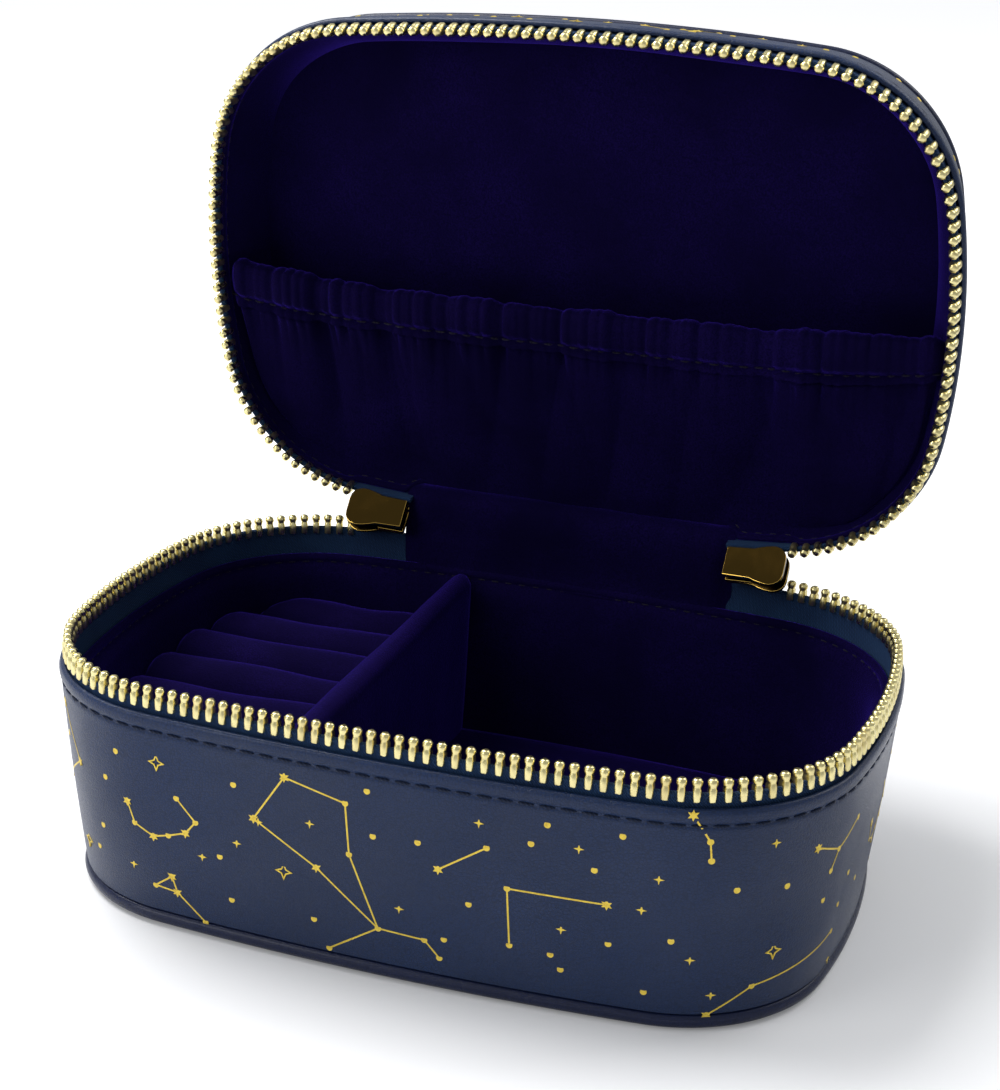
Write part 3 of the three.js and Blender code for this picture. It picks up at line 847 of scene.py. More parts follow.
def metal_material(name, colour, roughness, tarnish):
    """Plated metal, a little duller and browner where it was handled, with fine drawn lines."""
    material, tree, shader = new_material(name, Metallic=1.0)
    worn = group_in(tree, handling_group(), {"Smudge size": 160.0, "Scuff size": 1400.0})
    dull = sums(tree, "MULTIPLY", worn.outputs["Smudges"], tarnish)
    base = mixed(tree, dull, colour, darker(colour, 0.6, 0.48, 0.35))
    tree.links.new(base, shader.inputs["Base Color"])
    rough = remapped(tree, worn.outputs["Smudges"], 0.0, 1.0, roughness, roughness + 0.14)
    scraped = sums(tree, "MULTIPLY", worn.outputs["Scuffs"], 0.2)
    tree.links.new(sums(tree, "ADD", rough, scraped), shader.inputs["Roughness"])
    bumped(tree, shader, worn.outputs["Scuffs"], 0.00002, 0.5)
    return material


def thread_material(name, colour):
    """Twisted sewing thread, with painted shade between its plies."""
    material, tree, shader = new_material(name, Roughness=0.7, Sheen_Weight=0.1, Specular_IOR_Level=0.2)
    where = object_place(tree)
    plies = put(
        tree,
        "ShaderNodeTexWave",
        {"Vector": where, "Scale": 700.0, "Distortion": 1.5, "Detail": 1.0},
        bands_direction="DIAGONAL",
    )
    # Painted shade: the grooves between the plies are coloured darker.
    base = mixed(tree, plies.outputs["Fac"], darker(colour, 0.4), colour)
    tree.links.new(base, shader.inputs["Base Color"])
    bumped(tree, shader, plies.outputs["Fac"], 0.00008)
    return material


def board_material():
    """Greyboard: pressed fibres, flecked."""
    material, tree, shader = new_material("greyboard fibres", Roughness=0.92)
    where = object_place(tree)
    stretched = put(tree, "ShaderNodeMapping", {"Vector": where, "Scale": (1.0, 1.0, 3.0)})
    fibres = noise(tree, stretched.outputs[0], 700.0, 5.0, 0.7)
    flecks = remapped(tree, noise(tree, where, 2400.0), 0.62, 0.72)
    base = mixed(tree, fibres, (0.20, 0.18, 0.15), (0.42, 0.39, 0.34))
    tree.links.new(mixed(tree, flecks, base, (0.08, 0.07, 0.06)), shader.inputs["Base Color"])
    bumped(tree, shader, fibres, 0.0001)
    return material


def floor_material(colour):
    """Studio paper, very slightly mottled, with a painted glow seen only by the camera that burns out to
    white away from the case and leaves painted shade near it.
    """
    material, tree, shader = new_material(
        "studio paper", Roughness=0.75, Specular_IOR_Level=0.2, Emission_Strength=1.0
    )
    where = object_place(tree)
    mottled = mixed(tree, noise(tree, where, 3.0), darker(colour, 0.985), colour)
    tree.links.new(mottled, shader.inputs["Base Color"])
    away = put(tree, "ShaderNodeVectorMath", {0: where}, operation="LENGTH")
    far = remapped(tree, away.outputs["Value"], 0.05, 0.7)
    # Painted light: the floor glows for camera rays only, more the farther it is from the case.
    seen = put(tree, "ShaderNodeLightPath").outputs["Is Camera Ray"]
    painted_glow_share = sums(tree, "MULTIPLY", sums(tree, "ADD", far, 0.15), seen)
    painted_glow = mixed(tree, painted_glow_share, (0.0, 0.0, 0.0), (0.6, 0.6, 0.6))
    tree.links.new(painted_glow, shader.inputs["Emission Color"])
    return material


FINISHES = {}


def finish_of(name):
    """The case's materials, each made when it is first asked for."""
    tints = bpy.context.scene.case_colours
    makers = {
        "leatherette": lambda: leather_material(name, tuple(tints.leather), 0.30),
        "piping": lambda: leather_material(name, tuple(tints.piping), 0.26, cells=1700.0, depth=0.00003),
        "foil": lambda: foil_material(tuple(tints.foil)),
        "velvet": lambda: velvet_material(name, tuple(tints.velvet)),
        "tape": lambda: tape_material(tuple(tints.tape)),
        "teeth": lambda: metal_material(name, tuple(tints.teeth), 0.24, 0.35),
        # The sliders' faces carry a painted dark reflection, their bevelled edges a painted highlight.
        "slider": lambda: metal_material(name, tuple(tints.slider), 0.12, 0.25),
        "gilt edge": lambda: metal_material(name, tuple(tints.gilt_edge_painted_highlight), 0.16, 0.2),
        "wall thread": lambda: thread_material(name, darker(tuple(tints.leather), 0.6)),
        "velvet thread": lambda: thread_material(name, darker(tuple(tints.velvet), 0.45)),
        "board": board_material,
        "floor": lambda: floor_material(tuple(tints.floor)),
    }
    if name not in FINISHES:
        FINISHES[name] = makers[name]()
    return FINISHES[name]


# ---- Pieces both shells have ------------------------------------------------------------------------


def face_bulge(half, drop):
    """How far the covered wall swells out past its straight face, in millimetres, as a negative inset."""
    foot = half.height / MM - WALL_FOOT
    return -0.25 * np.sin(np.pi * np.clip((drop - FACE_TOP) / (foot - FACE_TOP), 0, 1))


def wall_cover(half):
    """The covered wall: a swelling face, a sewn groove and a rolled rim, folded over to the inside."""
    foot = half.height / MM - WALL_FOOT
    outer = [(float(face_bulge(half, d)), d) for d in np.linspace(foot, 5, 9 if half.name == "base" else 5)]
    over = [(0.32, 0.22), (0.7, 0.03), (1.0, 0.05), (1.16, 0.25)]
    inner = [(COVER, d) for d in (0.6, 5, 12, foot)]
    inset, drop = np.array(outer + RIM_PROFILE + over + inner).T
    grid = half.points(stations(half.outline), inset, drop)
    piece = loft(f"{half.name}_printed_wall", grid, finish_of("leatherette"), around=True)
    finish_piece(piece, half.name, "leatherette", f"{half.name}_wall_cover")


def wall_stitches(half):
    """A row of saddle stitches in the groove under the rim."""
    zip_size = bpy.context.scene.zip_sizes
    s = stations(half.outline, 2.2 * MM)
    in_groove = 0.16
    points = half.points(s, np.array([in_groove]), np.array([zip_size.stitch_drop / MM]))[:, 0]
    out, _ = half.directions(s)
    thread = finish_of("wall thread")
    shape = stitch_shape(thread, thick=0.62)
    piece = row(f"{half.name}_rim_stitches", points, out, True, zip_size.stitch_pitch, shape, thread)
    finish_piece(piece, half.name, "leatherette")


def piping_cord(half):
    """A cord wrapped in leatherette, sewn in where the wall meets the panel."""
    angles = np.arange(18) * math.tau / 18
    radius = PIPING + 0.03 * np.cos(3 * angles)
    inset = PIPING_INSET + radius * np.cos(angles)
    drop = half.height / MM - PIPING - 0.4 + radius * np.sin(angles)
    grid = half.points(stations(half.outline), inset, drop)
    piece = loft(f"{half.name}_welt", grid, finish_of("piping"), around=True)
    node = "bottom_piping" if half.name == "base" else "lid_piping"
    finish_piece(piece, half.name, "welt", node)


def dome(ring, levels):
    """Points and faces of a closed panel: one ring repeated, scaled about its middle and moved along z."""
    middle = ring.mean(axis=0) * [1, 1, 0]
    rows = np.array([(ring - middle) * [k, k, 0] + middle + [0, 0, z] for k, z in levels])
    count = ring.shape[0]
    faces = loft_faces(len(rows), count, False, True)[0].tolist()
    ends = [middle + [0, 0, levels[0][1]], middle + [0, 0, levels[-1][1]]]
    low, high = len(rows) * count, len(rows) * count + 1
    top = (len(rows) - 1) * count
    for i in range(count):
        j = (i + 1) % count
        faces += [[low, j, i], [high, top + i, top + j]]
    return np.vstack([rows.reshape(-1, 3), ends]), faces


def edge_panel(half):
    """The leatherette panel inside the piping: the bottom of the base, or the top of the lid."""
    s = stations(half.outline, 2 * MM)
    inset = (half.lean / MM + PIPING_INSET + PIPING - 0.1) * MM
    place, normal = half.outline.at(s)
    ring = np.column_stack([place - normal * inset, np.zeros(len(s))])
    if half.name == "base":
        name, node, level, levels = "base_bottom_panel", "bottom_cover", 0, BOTTOM_LEVELS
    else:
        name, node, levels = "lid_top_panel", "lid_top_cover", TOP_EDGE + TOP_CROWN
        level = (half.rim + half.height) / MM
    points, faces = dome(ring, [(k, (level + z) * MM) for k, z in levels])
    piece = add_mesh(name, half.rest(points), faces, finish_of("leatherette"), sharp=35)
    finish_piece(piece, half.name, "leatherette", node)


def wall_lining(half):
    """Velvet over the inside of the wall, folded and sewn along its edge.

    In the base the edge stays under the zip tape. In the lid it is drawn up to the tape, except at the hinge.
    """
    is_base = half.name == "base"
    deep = half.height / MM - FLOOR_Z + 0.9 if is_base else 13.0
    step = [(5.3, d) for d in np.linspace(11, deep, 7 if is_base else 3)]
    back = [(BOARD_FACE + 0.05, deep), (BOARD_FACE + 0.05, 8.6), (3.4, 7.4), (2.72, 6.2)]
    low = [
        (2.72, 4.4), (2.8, 3.85), (3.1, 3.6), (3.6, 3.62), (3.95, 3.9), (4.1, 4.4), (4.12, 4.9), (3.98, 5.2),
        (3.95, 5.4), (4.0, 5.6), (4.25, 6.0), (4.55, 6.6), (5.0, 7.7), (5.25, 9.0),
    ]
    high = [
        (2.36, -1.2), (2.38, -1.65), (2.6, -1.9), (2.95, -1.95), (3.2, -1.7), (3.3, -1.2), (3.32, -0.7),
        (3.2, -0.2), (3.18, 0.0), (3.24, 0.3), (3.5, 1.2), (4.1, 2.8), (4.7, 4.8), (5.15, 7.4),
    ]
    s = stations(half.outline)
    place, _ = half.outline.at(s)
    raised = np.interp(np.abs(place[:, 0]) / MM, [37.6, 39.6, 52.6, 54.6], [0, 0.75, 0.75, 1])
    raised = np.where(place[:, 1] > 0, raised, 1) * (not is_base)
    low, high = np.array(low + step + back), np.array(high + step + back)
    inset, drop = np.moveaxis(low + raised[:, None, None] * (high - low), 2, 0)
    soft = np.zeros(len(low))
    soft[3:-4] = np.clip((low[3:-4, 1] - 3.4) / 6, 0.15, 1)
    swell = ripple(s[:, None], low[None, :, 1] * MM, 11 if is_base else 12, longest=0.05, shortest=0.018)
    swell[-8:] = swell[-8:] * np.linspace(1, 0, 8)[:, None] + swell[:1] * np.linspace(0, 1, 8)[:, None]
    grid = half.points(s, inset + 0.16 * soft * swell, drop)
    piece = loft(f"{half.name}_velvet_wall", grid, finish_of("velvet"), around=True, sharp=70)
    finish_piece(piece, half.name, "velvet", f"{half.name}_wall_lining")
    seam = slice(8, 9)
    points = half.points(s, inset[:, seam] - 0.05, drop[:, seam])[:, 0]
    out, _ = half.directions(s)
    thread = finish_of("velvet thread")
    shape = stitch_shape(thread, long=2.4, thick=0.38)
    stitches = row(f"{half.name}_velvet_stitches", points, -out, True, 3.3 * MM, shape, thread)
    finish_piece(stitches, half.name, "velvet")


def zip_stretch(half, end):
    """Distances round the outline from one end of the zip to the other, starting at its left end."""
    outline = half.outline
    first = outline.back(-end) - outline.length
    return np.linspace(first, outline.back(end), 300)


def zip_tape(half):
    """Woven tape: up from behind the lining, over the rim, with a corded edge under the teeth.

    Its ends run on under the sliders to the hinge strip, and rise a little into the sliders.
    """
    zip_size = bpy.context.scene.zip_sizes
    inset, drop = np.array(
        [
            (1.5, 7.5), (1.5, 4), (1.5, 0.5), (1.5, -1.7), (1.3, -2.0), (1.32, -2.35), (1.62, -2.6),
            (2.18, -2.6), (2.48, -2.35), (2.5, -2.0), (2.3, -1.7), (2.3, 0.5), (2.3, 4), (2.3, 7.5),
        ]
    ).T
    s = zip_stretch(half, zip_size.tape_end)
    place, _ = half.outline.at(s)
    rise = np.clip((zip_size.end - np.abs(place[:, 0])) / (5 * MM), 0, 1) * (place[:, 1] > 0)
    lift = (0.1 if half.name == "base" else 0.3) * rise[:, None] * (drop < -1)[None, :]
    grid = half.points(s, np.broadcast_to(inset, lift.shape), drop[None, :] - lift)
    piece = loft(f"{half.name}_woven_tape", grid, finish_of("tape"), sharp=70)
    finish_piece(piece, half.name, "zip_tape", f"{half.name}_zip_tape")


def zip_teeth(half):
    """A row of metal teeth clamped over the edge of the tape."""
    zip_size = bpy.context.scene.zip_sizes
    first = half.outline.back(-zip_size.end) - half.outline.length
    s = np.linspace(first + 0.2 * MM, half.outline.back(zip_size.end) - 0.2 * MM, 260)
    points = half.points(s, np.array([ZIP_INSET]), np.array([0.0]))[:, 0]
    _, up = half.directions(s)
    brass = finish_of("teeth")
    piece = row(f"{half.name}_brass_teeth", points, up, False, zip_size.pitch, tooth_shape(brass), brass)
    finish_piece(piece, half.name, "zip_teeth", f"{half.name}_zip_teeth")


# ---- The star-chart print ---------------------------------------------------------------------------

# Joined-up stars, as points in millimetres and the pairs of points that a line joins.
FIGURES = {
    "kite": (
        [
            (-20, 41), (-7.5, 38), (-27, 30.5), (-7, 27), (-14, 22.5), (-1.5, 11.5), (-12, 4.5), (8, 11),
            (11, 7.5),
        ],
        [(0, 1), (0, 2), (1, 3), (3, 5), (2, 4), (4, 5), (5, 6), (5, 7), (7, 8)],
    ),
    "cup": (
        [(-56, 27.5), (-54.5, 23), (-50, 21), (-46.5, 22), (-42.5, 23.5), (-40, 26.5), (-44, 31)],
        [(0, 1), (1, 2), (2, 3), (3, 4), (4, 5), (5, 6)],
    ),
    "hook": ([(-46.5, 12.5), (-50.5, 9.5), (-45.5, 9), (-39.5, 3.5)], [(0, 1), (1, 2), (2, 0), (2, 3)]),
    "pair": ([(11, 27.5), (20.5, 34)], [(0, 1)]),
    "corner": ([(43.5, 26), (24.5, 26), (25, 13.5)], [(0, 1), (1, 2)]),
    "bough": ([(58.5, 47), (62, 41.5), (62.5, 37.5)], [(0, 1), (1, 2)]),
    "wing": ([(64.5, 3.5), (74, 9), (99.5, 12.5)], [(0, 1), (1, 2)]),
    "dart": ([(86, 36), (94, 33), (103, 36), (92, 29)], [(0, 1), (1, 2), (1, 3)]),
}
# Figures again on the ends and the back, as (figure, distance moved, turned the other way).
BASE_REPEATS = [
    ("cup", 175, False), ("hook", 190, False), ("corner", 118, True), ("kite", 190, True),
    ("pair", 196, False), ("dart", 122, False), ("wing", -232, False), ("kite", -84, True),
    ("cup", -96, False), ("pair", -150, True), ("corner", -208, False), ("hook", -150, True),
]
# The same on the lid, with how far each figure is raised and its scale.
LID_WALL_REPEATS = [("hook", 70, False, 3.5, 0.62), ("hook", -110, False, 3.5, 0.62)]
LID_WALL_REPEATS += [("pair", along, False, -8.6, 0.62) for along in (0, 95, 190, -120, -215)]
LID_TOP_REPEATS = [
    ("kite", -14, False, -26), ("corner", 4, True, -8), ("cup", 4, False, -2), ("wing", -38, False, -38),
    ("pair", 20, False, -4), ("hook", 2, False, -46),
]
# Radius of each kind of small print, in millimetres.
MARK_SIZES = {"dots": 0.66, "sparkles": 1.05, "stars": 1.15, "hollow_stars": 1.9}
# Small prints along the front of the base: (along, up) in millimetres.
FRONT_PRINTS = {
    "dots": [
        (-65, 19), (-68, 13), (-31, 37), (-35, 20), (-2, 32), (7, 32.5), (17, 21), (12, 12), (33, 13),
        (35, 10), (41, 33), (46, 41), (51, 8), (68, 31), (79, 30), (91, 23), (32, 41), (-15, 10.5),
        (-58, 38), (44, 17.5), (29, 36.5), (-33, 10.5), (-3, 41.5), (-62, 31), (56, 20),
    ],
    "sparkles": [
        (-15, 32), (3, 17), (50, 26), (53, 33), (65, 8), (75, 40), (-31, 24), (-26, 30), (-39, 19), (-56, 13),
        (19, 39), (35, 19), (60, 16), (38, 37),
    ],
    "hollow_stars": [(-21, 20), (78, 16), (-74, 12), (-48, 38)],
}
# The printed lines, in millimetres: how deep they start, how far they stand out, and how wide they are.
PRINT_SUNK, PRINT_PROUD, PRINT_WIDE = -0.06, 0.045, 0.36
CLEAR_OF_PRINTS = 5  # least distance between small prints, in millimetres


def wall_map(half):
    """Places on a wall's outer face: along it, up from its foot, and out from its surface, in millimetres."""
    height = half.height / MM
    line = np.linspace(RIM_PROFILE[0][1], height - WALL_FOOT, 12)
    rim_insets, rim_drops = np.array(RIM_PROFILE[:0:-1]).T
    drops = np.concatenate([rim_drops, line])
    insets = np.concatenate([rim_insets, face_bulge(half, line)])

    def place(u, v, out=0.0):
        u, v = np.atleast_1d(np.asarray(u, float)), np.atleast_1d(np.asarray(v, float))
        drop = height - v
        inset = np.interp(drop, drops, insets) - out
        return half.points(u * MM, inset[:, None], drop[:, None])[:, 0]

    return place


def top_map(half):
    """Places on the lid's top panel: to the right, and to the back, seen from above with the lid shut."""
    panel_x, panel_y = 78, 51
    top = (half.rim + half.height) / MM
    shares, crown = np.array([*TOP_CROWN, (0, TOP_CROWN[-1][1])][::-1]).T

    def place(u, v, out=0.0):
        u, v = np.atleast_1d(np.asarray(u, float)), np.atleast_1d(np.asarray(v, float))
        z = top + np.interp(np.hypot(u / panel_x, v / panel_y), shares, crown) + out
        return half.rest(np.column_stack([u, v, z]) * MM)

    return place


def ribbons(place, lines, wide):
    """Thin printed lines, each a closed strip that follows the surface."""
    points, faces, used = [], [], 0
    for (u0, v0), (u1, v1) in lines:
        long = math.hypot(u1 - u0, v1 - v0)
        count = max(3, round(long / 1.6) + 1)
        t = np.linspace(0, 1, count)
        u, v = u0 + (u1 - u0) * t, v0 + (v1 - v0) * t
        au, av = -(v1 - v0) / long * wide / 2, (u1 - u0) / long * wide / 2
        corners = ((-1, PRINT_SUNK), (1, PRINT_SUNK), (1, PRINT_PROUD), (-1, PRINT_PROUD))
        grid = np.stack([place(u + side * au, v + side * av, out) for side, out in corners], axis=1)
        faces += loft_faces(count, 4, False, True, used)[0].tolist()
        last = used + 4 * (count - 1)
        faces += [[used + 3, used + 2, used + 1, used], [last, last + 1, last + 2, last + 3]]
        points.append(grid.reshape(-1, 3))
        used += 4 * count
    return np.concatenate(points), faces


def moved_figure(name, along=0.0, turned_round=False, rise=0.0, scale=1.0):
    """A figure moved along and up, made smaller, or turned the other way."""
    points, joins = FIGURES[name]
    middle = sum(p[0] for p in points) / len(points)
    flip = -1 if turned_round else 1
    placed = [(middle + along + flip * scale * (u - middle), rise + scale * v) for u, v in points]
    return placed, joins


def scattered(rng, count, low, high, taken, apart):
    """Places for small prints that keep clear of each other and of what is printed already."""
    found = []
    for _ in range(count * 12):
        spot = rng.uniform(low, high)
        if all(math.dist(spot, other) > apart for other in taken + found):
            found.append(tuple(spot))
        if len(found) == count:
            break
    return found


def figure_prints(place, figures):
    """The lines of some figures, the marks on their stars, and the places that they take up."""
    lines, marks, taken = [], {"stars": [], "dots": []}, []
    for points, joins in figures:
        lines += [(points[a], points[b]) for a, b in joins]
        taken += points
        for k, (u, v) in enumerate(points):
            is_star = k == 0 or (k % 2 == 0 and sum(k in join for join in joins) > 1)
            kind = "stars" if is_star else "dots"
            marks[kind].append((place, u, v, MARK_SIZES[kind]))
    taken += [((a[0] + b[0]) / 2, (a[1] + b[1]) / 2) for a, b in lines]
    return ribbons(place, lines, PRINT_WIDE), marks, taken


def print_chart(half):
    """Lines between stars, and dots, sparkles and hollow stars between them."""
    around = half.outline.length / MM
    wall = wall_map(half)
    if half.name == "base":
        repeats = [(name,) for name in FIGURES] + BASE_REPEATS
        placed = [(wall, repeats, (92, 4), (around - 78, 42), (46, 22, 7))]
    else:
        placed = [
            (wall, LID_WALL_REPEATS, (-around / 2, 5), (around / 2, 13), (44, 22, 6)),
            (top_map(half), LID_TOP_REPEATS, (-66, -38), (66, 38), (34, 18, 6)),
        ]

    rng = np.random.default_rng(7 if half.name == "base" else 8)
    marks = {kind: [] for kind in MARK_SIZES}
    points, faces = [], []
    for place, repeats, low, high, counts in placed:
        (some, their), found, taken = figure_prints(place, [moved_figure(*repeat) for repeat in repeats])
        used = sum(len(p) for p in points)
        faces += [[k + used for k in face] for face in their]
        points.append(some)
        for kind in found:
            marks[kind] += found[kind]
        if half.name == "base":
            for kind, spots in FRONT_PRINTS.items():
                marks[kind] += [(place, u, v, MARK_SIZES[kind]) for u, v in spots]
        for kind, count in zip(FRONT_PRINTS, counts):
            spots = scattered(rng, count, low, high, taken, CLEAR_OF_PRINTS)
            taken += spots
            size = min(MARK_SIZES[kind], 0.18 * (high[1] - low[1]))
            marks[kind] += [(place, u, v, size) for u, v in spots]

    gold = finish_of("foil")
    piece = add_mesh(f"{half.name}_chart_lines", np.concatenate(points), faces, gold, sharp=30)
    finish_piece(piece, half.name, "leatherette")
    outlines = {
        "dots": (star_points(6, 1.0), None),
        "sparkles": (star_points(4, 0.3), None),
        "stars": (star_points(6, 0.5), None),
        "hollow_stars": (star_points(4, 0.42), star_points(4, 0.42, 0.62)),
    }
    for kind, (outer, hole) in outlines.items():
        spots, above, proud = [
            np.concatenate([place(u, v + up, out) for place, u, v, _ in marks[kind]])
            for up, out in ((0, 0.0), (0.5, 0.0), (0, 1.0))
        ]
        size = [radius * MM for *_, radius in marks[kind]]
        holder = carrier(spots, [], out=proud - spots, up=above - spots, size=size)
        shape = print_shape(outer, gold, hole=hole)
        piece = repeated(f"{half.name}_chart_{kind}", holder, scatter_tree(), shape, gold)
        finish_piece(piece, half.name, "leatherette")


# ---- Inside the base --------------------------------------------------------------------------------


def floor_pad():
    """A thin velvet pad on the floor of the base, pulled down round its edge."""
    half = shell("base")
    s = stations(half.outline, 2.5 * MM)
    place, normal = half.outline.at(s)
    ring = np.column_stack([place - normal * 8.5 * MM, np.zeros(len(s))])
    heights = [
        (0.6, 3.7), (0.985, 3.7), (0.998, 4.2), (1.0, 5.0), (0.997, 5.8), (0.985, 6.35), (0.96, 6.6),
        (0.9, 6.7), (0.8, 6.75), (0.66, 6.78), (0.5, 6.8), (0.34, 6.8), (0.18, 6.8), (0.06, 6.8),
    ]
    points, faces = dome(ring, [(k, z * MM) for k, z in heights])
    top = points[:, 2] > 6.5 * MM
    points[top, 2] += 0.22 * MM * ripple(points[top, 0], points[top, 1], 21)
    piece = add_mesh("base_velvet_floor", points, faces, finish_of("velvet"), sharp=70)
    finish_piece(piece, "base", "velvet", "base_floor_pad")


def room_inset(half, z):
    """How far in from the outline the pieces inside the base stop, at height z."""
    return ROOM_INSET * MM + half.lean * (half.height - z) / half.height


def divider():
    """A velvet-covered board from front to back, softly rounded along its top."""
    size = bpy.context.scene.velvet_sizes
    half = shell("base")
    r = size.divider_thickness / 2
    x0, top = size.divider_x, size.divider_top
    across = [
        (-r * 0.97, FLOOR_Z * MM + 0.3 * MM), (-r, 12 * MM), (-r * 1.02, 22 * MM), (-r, 32 * MM),
        (-r * 0.98, top - 1.5 * r),
    ]
    crest = [(r * 0.98 * math.cos(a), top - r + r * math.sin(a)) for a in np.linspace(math.pi, 0, 11)]
    ring = across + crest + [(-x, z) for x, z in across[::-1]]
    x, z = np.array(ring).T
    near, far = [0, 0.004, 0.012, 0.03], [0.97, 0.988, 0.996, 1]
    t = np.concatenate([near, np.linspace(0.05, 0.95, 34), far])
    squeeze = np.interp(t, near + far, [0.72, 0.86, 0.95, 1, 1, 0.95, 0.86, 0.72])
    limit = half.outline.half_depth(x0, room_inset(half, z))
    y = -limit[None, :] + 2 * limit[None, :] * t[:, None]
    uneven = 0.10 * MM * ripple(y, z[None, :], 31)
    x = x0 + x[None, :] * squeeze[:, None] + uneven * np.sign(x)[None, :]
    grid = np.stack([x, y, np.broadcast_to(z, y.shape)], axis=-1)
    grid[..., 2] += 0.12 * MM * ripple(y, 0 * z[None, :], 32) * (z > top - r)[None, :]
    piece = loft("velvet_divider", grid, finish_of("velvet"), sharp=70)
    finish_piece(piece, "base", "velvet", "divider")


def against_wall(half, y, z, u, right):
    """x at share u of the way from right to the left wall of the room, at depth y and height z."""
    return right + u * (-half.outline.half_width(y, room_inset(half, z)) - right)


def ring_pad():
    """The velvet-covered block that the ring rolls stand on."""
    size = bpy.context.scene.velvet_sizes
    half = shell("base")
    right = size.divider_x - size.divider_thickness / 2 - 0.3 * MM
    high, low = size.roll_bottom - 0.3 * MM, (FLOOR_Z + 0.3) * MM
    t = np.linspace(-1, 1, 41)
    levels = [(0.98, low), (1.0, low + 1 * MM), (1.0, high - 1.2 * MM), (0.99, high - 0.4 * MM), (0.97, high)]
    rings = []
    for k, z in levels:
        depth = half.outline.half_depth(right, room_inset(half, z)) * k
        curved = [(float(against_wall(half, depth * a, z, k, right)), depth * a, z) for a in t]
        straight = [(right - 0.2 * MM, y, z) for y in np.linspace(depth, -depth, 20)]
        rings.append(curved + straight)
    piece = loft("ring_block", np.array(rings), finish_of("velvet"), sharp=70)
    finish_piece(piece, "base", "velvet", "ring_pad_base")


# The section of a ring roll in millimetres, from its front over its crest: (back, up from its foot).
ROLL_SECTION = [
    (-6.7, 0.2), (-6.85, 3.5), (-6.75, 7.0), (-6.1, 10.2), (-4.3, 12.9), (-1.7, 14.3), (1.1, 14.6),
    (3.6, 13.7), (5.4, 11.3), (6.4, 7.8), (6.75, 4.0), (6.7, 0.2),
]


def ring_rolls():
    """Stuffed velvet rolls across the left side, each with its end against the wall."""
    size = bpy.context.scene.velvet_sizes
    half = shell("base")
    right = size.divider_x - size.divider_thickness / 2 - 0.5 * MM
    across, up = smoothed(ROLL_SECTION, 3).T * MM
    near, far = [0, 0.012, 0.035, 0.07], [0.93, 0.965, 0.988, 1]
    u = np.concatenate([near, np.linspace(0.11, 0.89, 20), far])
    pinch = np.interp(u, near + far, [0.8, 0.9, 0.96, 1, 1, 0.96, 0.9, 0.8])
    for i in range(size.roll_count):
        middle = (size.roll_count // 2 - i) * size.roll_pitch
        y = middle + across[None, :] * (0.94 + 0.06 * pinch[:, None])
        z = size.roll_bottom + up[None, :] * pinch[:, None]
        sag = 0.35 * MM * ripple(u[:, None] * 0.06, y, 40 + i, longest=0.05, shortest=0.02)
        z = z + sag * (up[None, :] / up.max()) ** 2
        y = y + 0.25 * MM * ripple(u[:, None] * 0.06, z, 60 + i) * (up[None, :] / up.max())
        x = against_wall(half, y, z, u[:, None], right)
        piece = loft(f"ring_roll_{i + 1}_velvet", np.stack([x, y, z], axis=-1), finish_of("velvet"), sharp=80)
        finish_piece(piece, "base", "velvet", f"ring_roll_{i + 1}")


# ---- Inside the lid ---------------------------------------------------------------------------------


def lid_pad():
    """The velvet panel that lines the top of the lid."""
    half = shell("lid")
    s = stations(half.outline, 2.5 * MM)
    place, normal = half.outline.at(s)
    ring = np.column_stack([place - normal * 6.5 * MM, np.zeros(len(s))])
    heights = [
        (0.6, 74.0), (0.985, 74.0), (0.998, 73.7), (1.0, 73.2), (0.999, 72.7), (0.995, 72.3), (0.985, 72.0),
        (0.96, 71.85), (0.9, 71.75), (0.8, 71.65), (0.66, 71.6), (0.5, 71.6), (0.34, 71.6), (0.18, 71.6),
        (0.06, 71.6),
    ]
    points, faces = dome(ring, [(k, z * MM) for k, z in heights])
    face = points[:, 2] < 72.1 * MM
    points[face, 2] += 0.3 * MM * ripple(points[face, 0], points[face, 1], 22, longest=0.09, shortest=0.03)
    piece = add_mesh("lid_velvet_panel", half.rest(points), faces, finish_of("velvet"), sharp=70)
    finish_piece(piece, "lid", "velvet", "lid_top_pad")


# Folds of the pocket, from tight to broad: (distance apart in millimetres, how slowly they fade, how tall).
FOLDS = ((2.5, 0.10, 0.75), (5.6, 0.25, 0.8), (13.0, 0.9, 1.5), (24.0, 2.0, 1.8))
FOLD_COUNT = 80
FOLDS_FROM = -90  # place of the leftmost fold, in millimetres
FOLD_SEED = 5


def gathers(x, v):
    """How far gathered velvet stands out: tight at the casing (v = 0), merging and fading to v = 1."""
    rng = np.random.default_rng(FOLD_SEED)
    total = np.zeros(np.broadcast(x, v).shape)
    for apart, fade, share in FOLDS:
        middles = np.cumsum(rng.uniform(0.6, 1.4, FOLD_COUNT) * apart) + FOLDS_FROM - apart
        talls = rng.uniform(0.45, 1.0, FOLD_COUNT)
        slants = rng.uniform(-0.8, 0.8, FOLD_COUNT) * apart
        layer = np.zeros_like(total)
        for middle, tall, slant in zip(middles, talls, slants):
            near = (x - middle - slant * v) / (apart * 0.62)
            layer = np.maximum(layer, tall * np.clip(1 - near**2, 0, 1))
        total = total + share * layer * np.exp(-v / fade)
    return total


